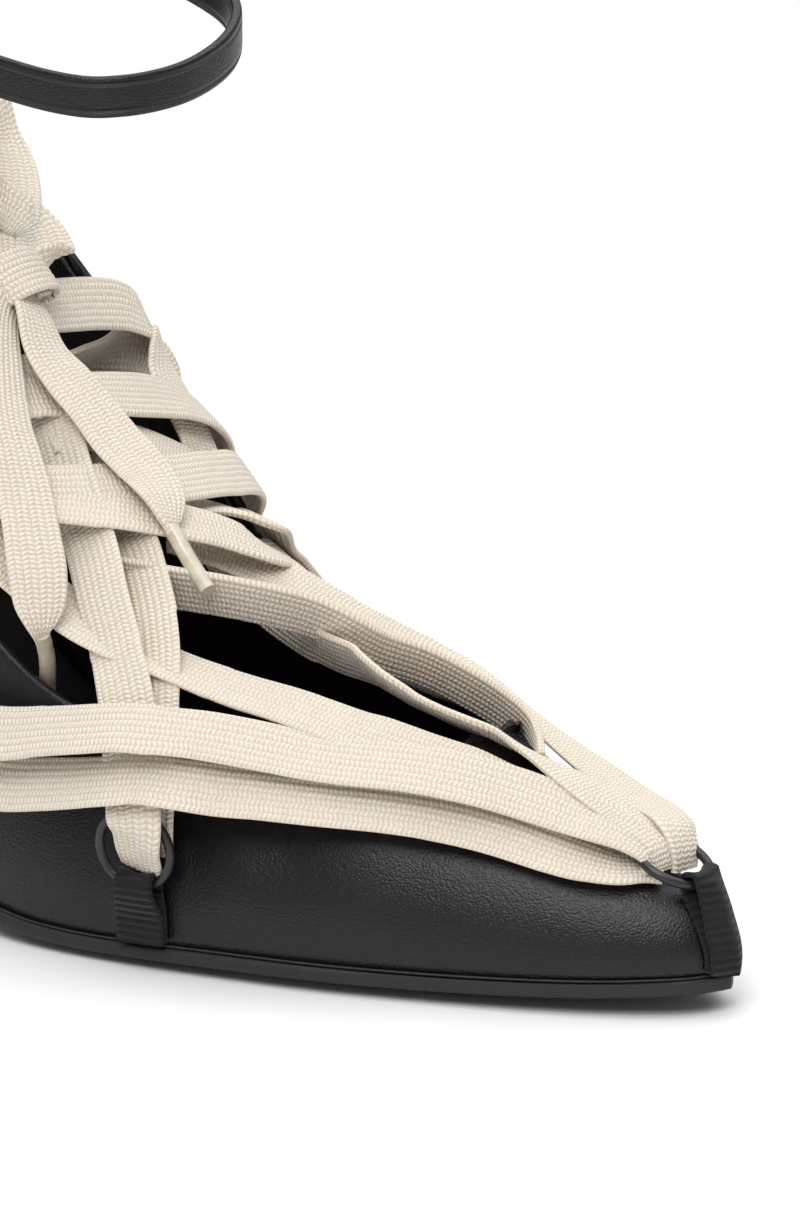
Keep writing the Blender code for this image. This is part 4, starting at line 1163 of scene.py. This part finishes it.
@dataclass
class WireRing:
    """A wire ring, measured from its CAD solid and spun smooth."""

    node: str
    material: bpy.types.Material
    sides: int = 14
    turns: int = 64

    def measure(self) -> tuple[Vector, Vector, float, float]:
        """Centre, axis, ring radius and wire radius of the CAD ring."""
        points = np.array([v.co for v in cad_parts[self.node].data.vertices])
        centre = (points.max(0) + points.min(0)) / 2.0
        _, _, axes = np.linalg.svd(points - points.mean(0), full_matrices=False)
        axis = Vector(axes[2])
        away = points - points.mean(0)
        flat = away - np.outer(away @ axes[2], axes[2])
        far = np.linalg.norm(flat, axis=1)
        wire = (far.max() - far.min()) / 2.0
        return Vector(points.mean(0)), axis, far.max() - wire, wire

    def build(self) -> bpy.types.Object:
        """Spin the wire's section round the axis."""
        centre, axis, radius, wire = self.measure()
        out = axis.orthogonal().normalized()
        made = bmesh.new()
        bmesh.ops.create_circle(made, segments=self.sides, radius=wire)
        axes = Matrix((out, axis, out.cross(axis))).transposed().to_4x4()
        bmesh.ops.transform(made, matrix=Matrix.Translation(centre + out * radius) @ axes,
                            verts=made.verts)
        bmesh.ops.spin(made, geom=made.verts[:] + made.edges[:], cent=centre, axis=axis,
                       angle=2.0 * math.pi, steps=self.turns, use_merge=True)
        bmesh.ops.remove_doubles(made, verts=made.verts, dist=MERGE)
        bmesh.ops.recalc_face_normals(made, faces=made.faces)
        return place_piece(self.node.replace("_ring", "_wire_ring"), made, self.material,
                           (self.node,))


@dataclass
class RibbonTab:
    """A grosgrain tab, from its CAD solid."""

    node: str
    material: bpy.types.Material

    def build(self) -> bpy.types.Object:
        """Refine the CAD ribbon and give it a UV in millimetres across and up."""
        made = refined(merged_copy(self.node), 2, crease=0.6, sharp_deg=50.0)
        low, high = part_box(self.node)
        uv = made.loops.layers.uv.get("UVMap") or made.loops.layers.uv.new("UVMap")
        for polygon in made.faces:
            for loop in polygon.loops:
                p = loop.vert.co
                loop[uv].uv = ((p.x - low.x) / MM, (p.z - low.z) / MM)
        return place_piece(self.node.replace("_tab", "_ribbon"), made, self.material,
                           (self.node,))


@dataclass
class LaceNet:
    """Every crossing of the laces over the vamp and the instep."""

    material: bpy.types.Material
    lace: FlatLace = field(default_factory=FlatLace)

    def build(self) -> None:
        """Lay each strand along its route; the first one stands for the joined CAD solid."""
        for i, (name, rows) in enumerate(LACE_ROUTES.items()):
            made = self.lace.build(Route(rows, KEPT_WIDE.get(name)))
            place_piece("lace_" + name, made, self.material,
                        ("lace_crossings",) if i == 0 else ())


@dataclass
class Bow:
    """The knot, its two loops and the two loose ends with their plastic tubes."""

    lace_finish: bpy.types.Material
    tube_finish: bpy.types.Material
    lace: FlatLace = field(default_factory=FlatLace)
    knot_at: Vector = field(default_factory=lambda: Vector((76.5, -2.5, 98.5)))

    def strand(self, name: str, pieces: list[bpy.types.Object]) -> bpy.types.Object:
        """Args:
            name: The CAD node and route.
            pieces: The separate pieces on it; not used.

        Returns:
            The strand.
        """
        route = Route(BOW_ROUTES[name], KEPT_WIDE.get(name))
        stations = route.stations()
        piece = place_piece(name + "_lace", self.lace.build(route), self.lace_finish, (name,))
        LOG.info("%s is %.1f mm long", name, stations[-1].run / MM)
        return piece

    def tube(self, node: str) -> bpy.types.Object:
        """Roll the film tube at a lace's end."""
        points = [Vector(p) * MM for p in spline(AGLET_ROUTES[node], 6)]
        made = round_tube(points, 1.35 * MM, sides=20)
        return place_piece(node + "_tube", made, self.tube_finish, (node,))

    def knot(self) -> bpy.types.Object:
        """Wrap the lace once round the crossing, as a flat band with its ends tucked in."""
        rows = []
        centre = self.knot_at
        out = (centre - nearest_on_core(centre)).normalized()
        side = Vector((0.0, 1.0, 0.0))
        for k in range(15):
            turn = math.radians(-200.0 + 400.0 * k / 14.0)
            p = centre + side * (math.sin(turn) * 6.0) + out * (math.cos(turn) * 3.6 + 0.4)
            rows.append((*p, 8.6, 0.0))
        made = self.lace.build(Route(tuple(rows)))
        return place_piece("bow_knot", made, self.lace_finish, ("lace_knot",))

    def build(self) -> None:
        """Tie the bow."""
        knot = self.knot()
        self.strand("lace_end_long", [self.tube("aglet_long"), knot])
        self.strand("lace_end_short", [self.tube("aglet_short")])
        self.strand("bow_loop_inner", [])
        self.strand("bow_loop_outer", [])


@dataclass
class AnkleStrap:
    """The ankle strap with its edge line, and its small buckle and keeper."""

    finishes: Finishes
    wide: float = 6.5 * MM
    thick: float = 1.8 * MM
    around: int = 40

    def section(self, k: int) -> tuple[float, float, float]:
        """Place on the strap's section: up, out and a groove depth, which is always zero, at step k."""
        turn = 2.0 * math.pi * k / self.around
        c, s = math.cos(turn), math.sin(turn)
        up = math.copysign(abs(s) ** 0.35, s) * self.wide / 2.0
        out = math.copysign(abs(c) ** 0.45, c) * self.thick / 2.0
        return up, out, 0.0

    def build(self) -> None:
        """Bend the strap's grid round its closed route."""
        rows = spline(STRAP_ROUTE, 8, closed=True)
        points = [Vector(p) * MM for p in rows]
        count = len(points)
        made = bmesh.new()
        bmesh.ops.create_grid(made, x_segments=count, y_segments=self.around, size=0.5)
        layer = made.verts.layers.float.new("rim")
        for v in made.verts:
            i = round((v.co.x + 0.5) * count) % count
            k = round((v.co.y + 0.5) * self.around) % self.around
            along = (points[(i + 1) % count] - points[i - 1]).normalized()
            out = along.cross(Vector((0.0, 0.0, 1.0))).normalized()
            up = out.cross(along).normalized()
            high, deep, _ = self.section(k)
            v.co = points[i] + up * high + out * deep
            v[layer] = (self.wide / 2.0 - abs(high)) / MM + 1.15
        bmesh.ops.remove_doubles(made, verts=made.verts, dist=MERGE / 4.0)
        bmesh.ops.recalc_face_normals(made, faces=made.faces)
        place_piece("strap_leather", made, self.finishes.upper, ("ankle_strap",))
        for node, name, material, slot in (
                ("buckle", "strap_buckle_frame", self.finishes.wire, Slot.RING),
                ("strap_keeper", "strap_keeper_loop", self.finishes.plain_leather, Slot.LEATHER)):
            made = merged_copy(node)
            bmesh.ops.bevel(made, geom=[e for e in made.edges if e.calc_face_angle(0.0) > 0.6],
                            affect="EDGES", offset=0.3 * MM, segments=3, profile=0.5, material=-1)
            place_piece(name, made, material, (node,))


@dataclass
class Studio:
    """A pale floor, soft lights and the camera at the photograph's angle."""

    eye: tuple[float, float, float] = (0.6492, -0.6851, 0.2729)
    aim: tuple[float, float, float] = (0.13655, 0.0206, 0.0487)
    lens: float = 250.0

    def camera(self) -> None:
        """Set the camera."""
        data = bpy.data.cameras.new("camera")
        data.lens = self.lens
        data.sensor_width = 36.0
        data.sensor_fit = "HORIZONTAL"
        data.clip_end = 50.0
        made = bpy.data.objects.new("camera", data)
        made.location = self.eye
        made.rotation_euler = (Vector(self.aim) - Vector(self.eye)).to_track_quat("-Z", "Y").to_euler()
        bpy.context.scene.collection.objects.link(made)
        bpy.context.scene.camera = made

    @staticmethod
    def light(name: str, at: tuple, aim: tuple, size: float, power: float, code: str) -> None:
        """Add one soft box."""
        data = bpy.data.lights.new(name, "AREA")
        data.shape = "SQUARE"
        data.size = size
        data.energy = power
        data.color = linear(code)[:3]
        made = bpy.data.objects.new(name, data)
        made.location = at
        made.rotation_euler = (Vector(aim) - Vector(at)).to_track_quat("-Z", "Y").to_euler()
        bpy.context.scene.collection.objects.link(made)

    def build(self) -> None:
        """Build the floor, the lights and the world."""
        made = bmesh.new()
        bmesh.ops.create_grid(made, x_segments=1, y_segments=1, size=6.0)
        mesh = bpy.data.meshes.new("floor")
        made.to_mesh(mesh)
        made.free()
        material = WornSolid("matte_white_paper", "#f4f4f4", 0.9, scuff_mm=80.0, relief_mm=0.0,
                             change="#f1f1f1").build()
        mesh.materials.append(material)
        floor = bpy.data.objects.new("floor", mesh)
        bpy.context.scene.collection.objects.link(floor)
        world = bpy.data.worlds.new("studio")
        world.use_nodes = True
        world.node_tree.nodes["Background"].inputs[0].default_value = linear("#f3f5f8")
        world.node_tree.nodes["Background"].inputs[1].default_value = 0.34
        bpy.context.scene.world = world
        self.light("overhead_box", (0.0, 0.6, 2.2), (0.1, 0.6, 0.0), 4.0, 76.0, "#ffffff")
        self.light("key_box", (0.55, -0.9, 1.1), (0.12, 0.0, 0.04), 0.7, 10.5, "#ffffff")
        bpy.context.scene.view_settings.view_transform = "Standard"
        self.camera()


def main() -> None:
    """Build the scene: the studio and the cords first, then every piece of the shoe."""
    logging.basicConfig(level=logging.INFO, format="%(name)s: %(message)s")
    Studio().build()
    finishes = Finishes()
    Bow(finishes.lace, finishes.aglet).build()
    LaceNet(finishes.lace).build()
    LeatherShell(finishes).build()
    SoleUnit(finishes).build()
    for place in ("toe", "lateral", "medial", "lateral_rear", "medial_rear"):
        WireRing(place + "_ring", finishes.wire).build()
        RibbonTab(place + "_tab", finishes.ribbon).build()
    AnkleStrap(finishes).build()


if __name__ == "__main__":
    main()
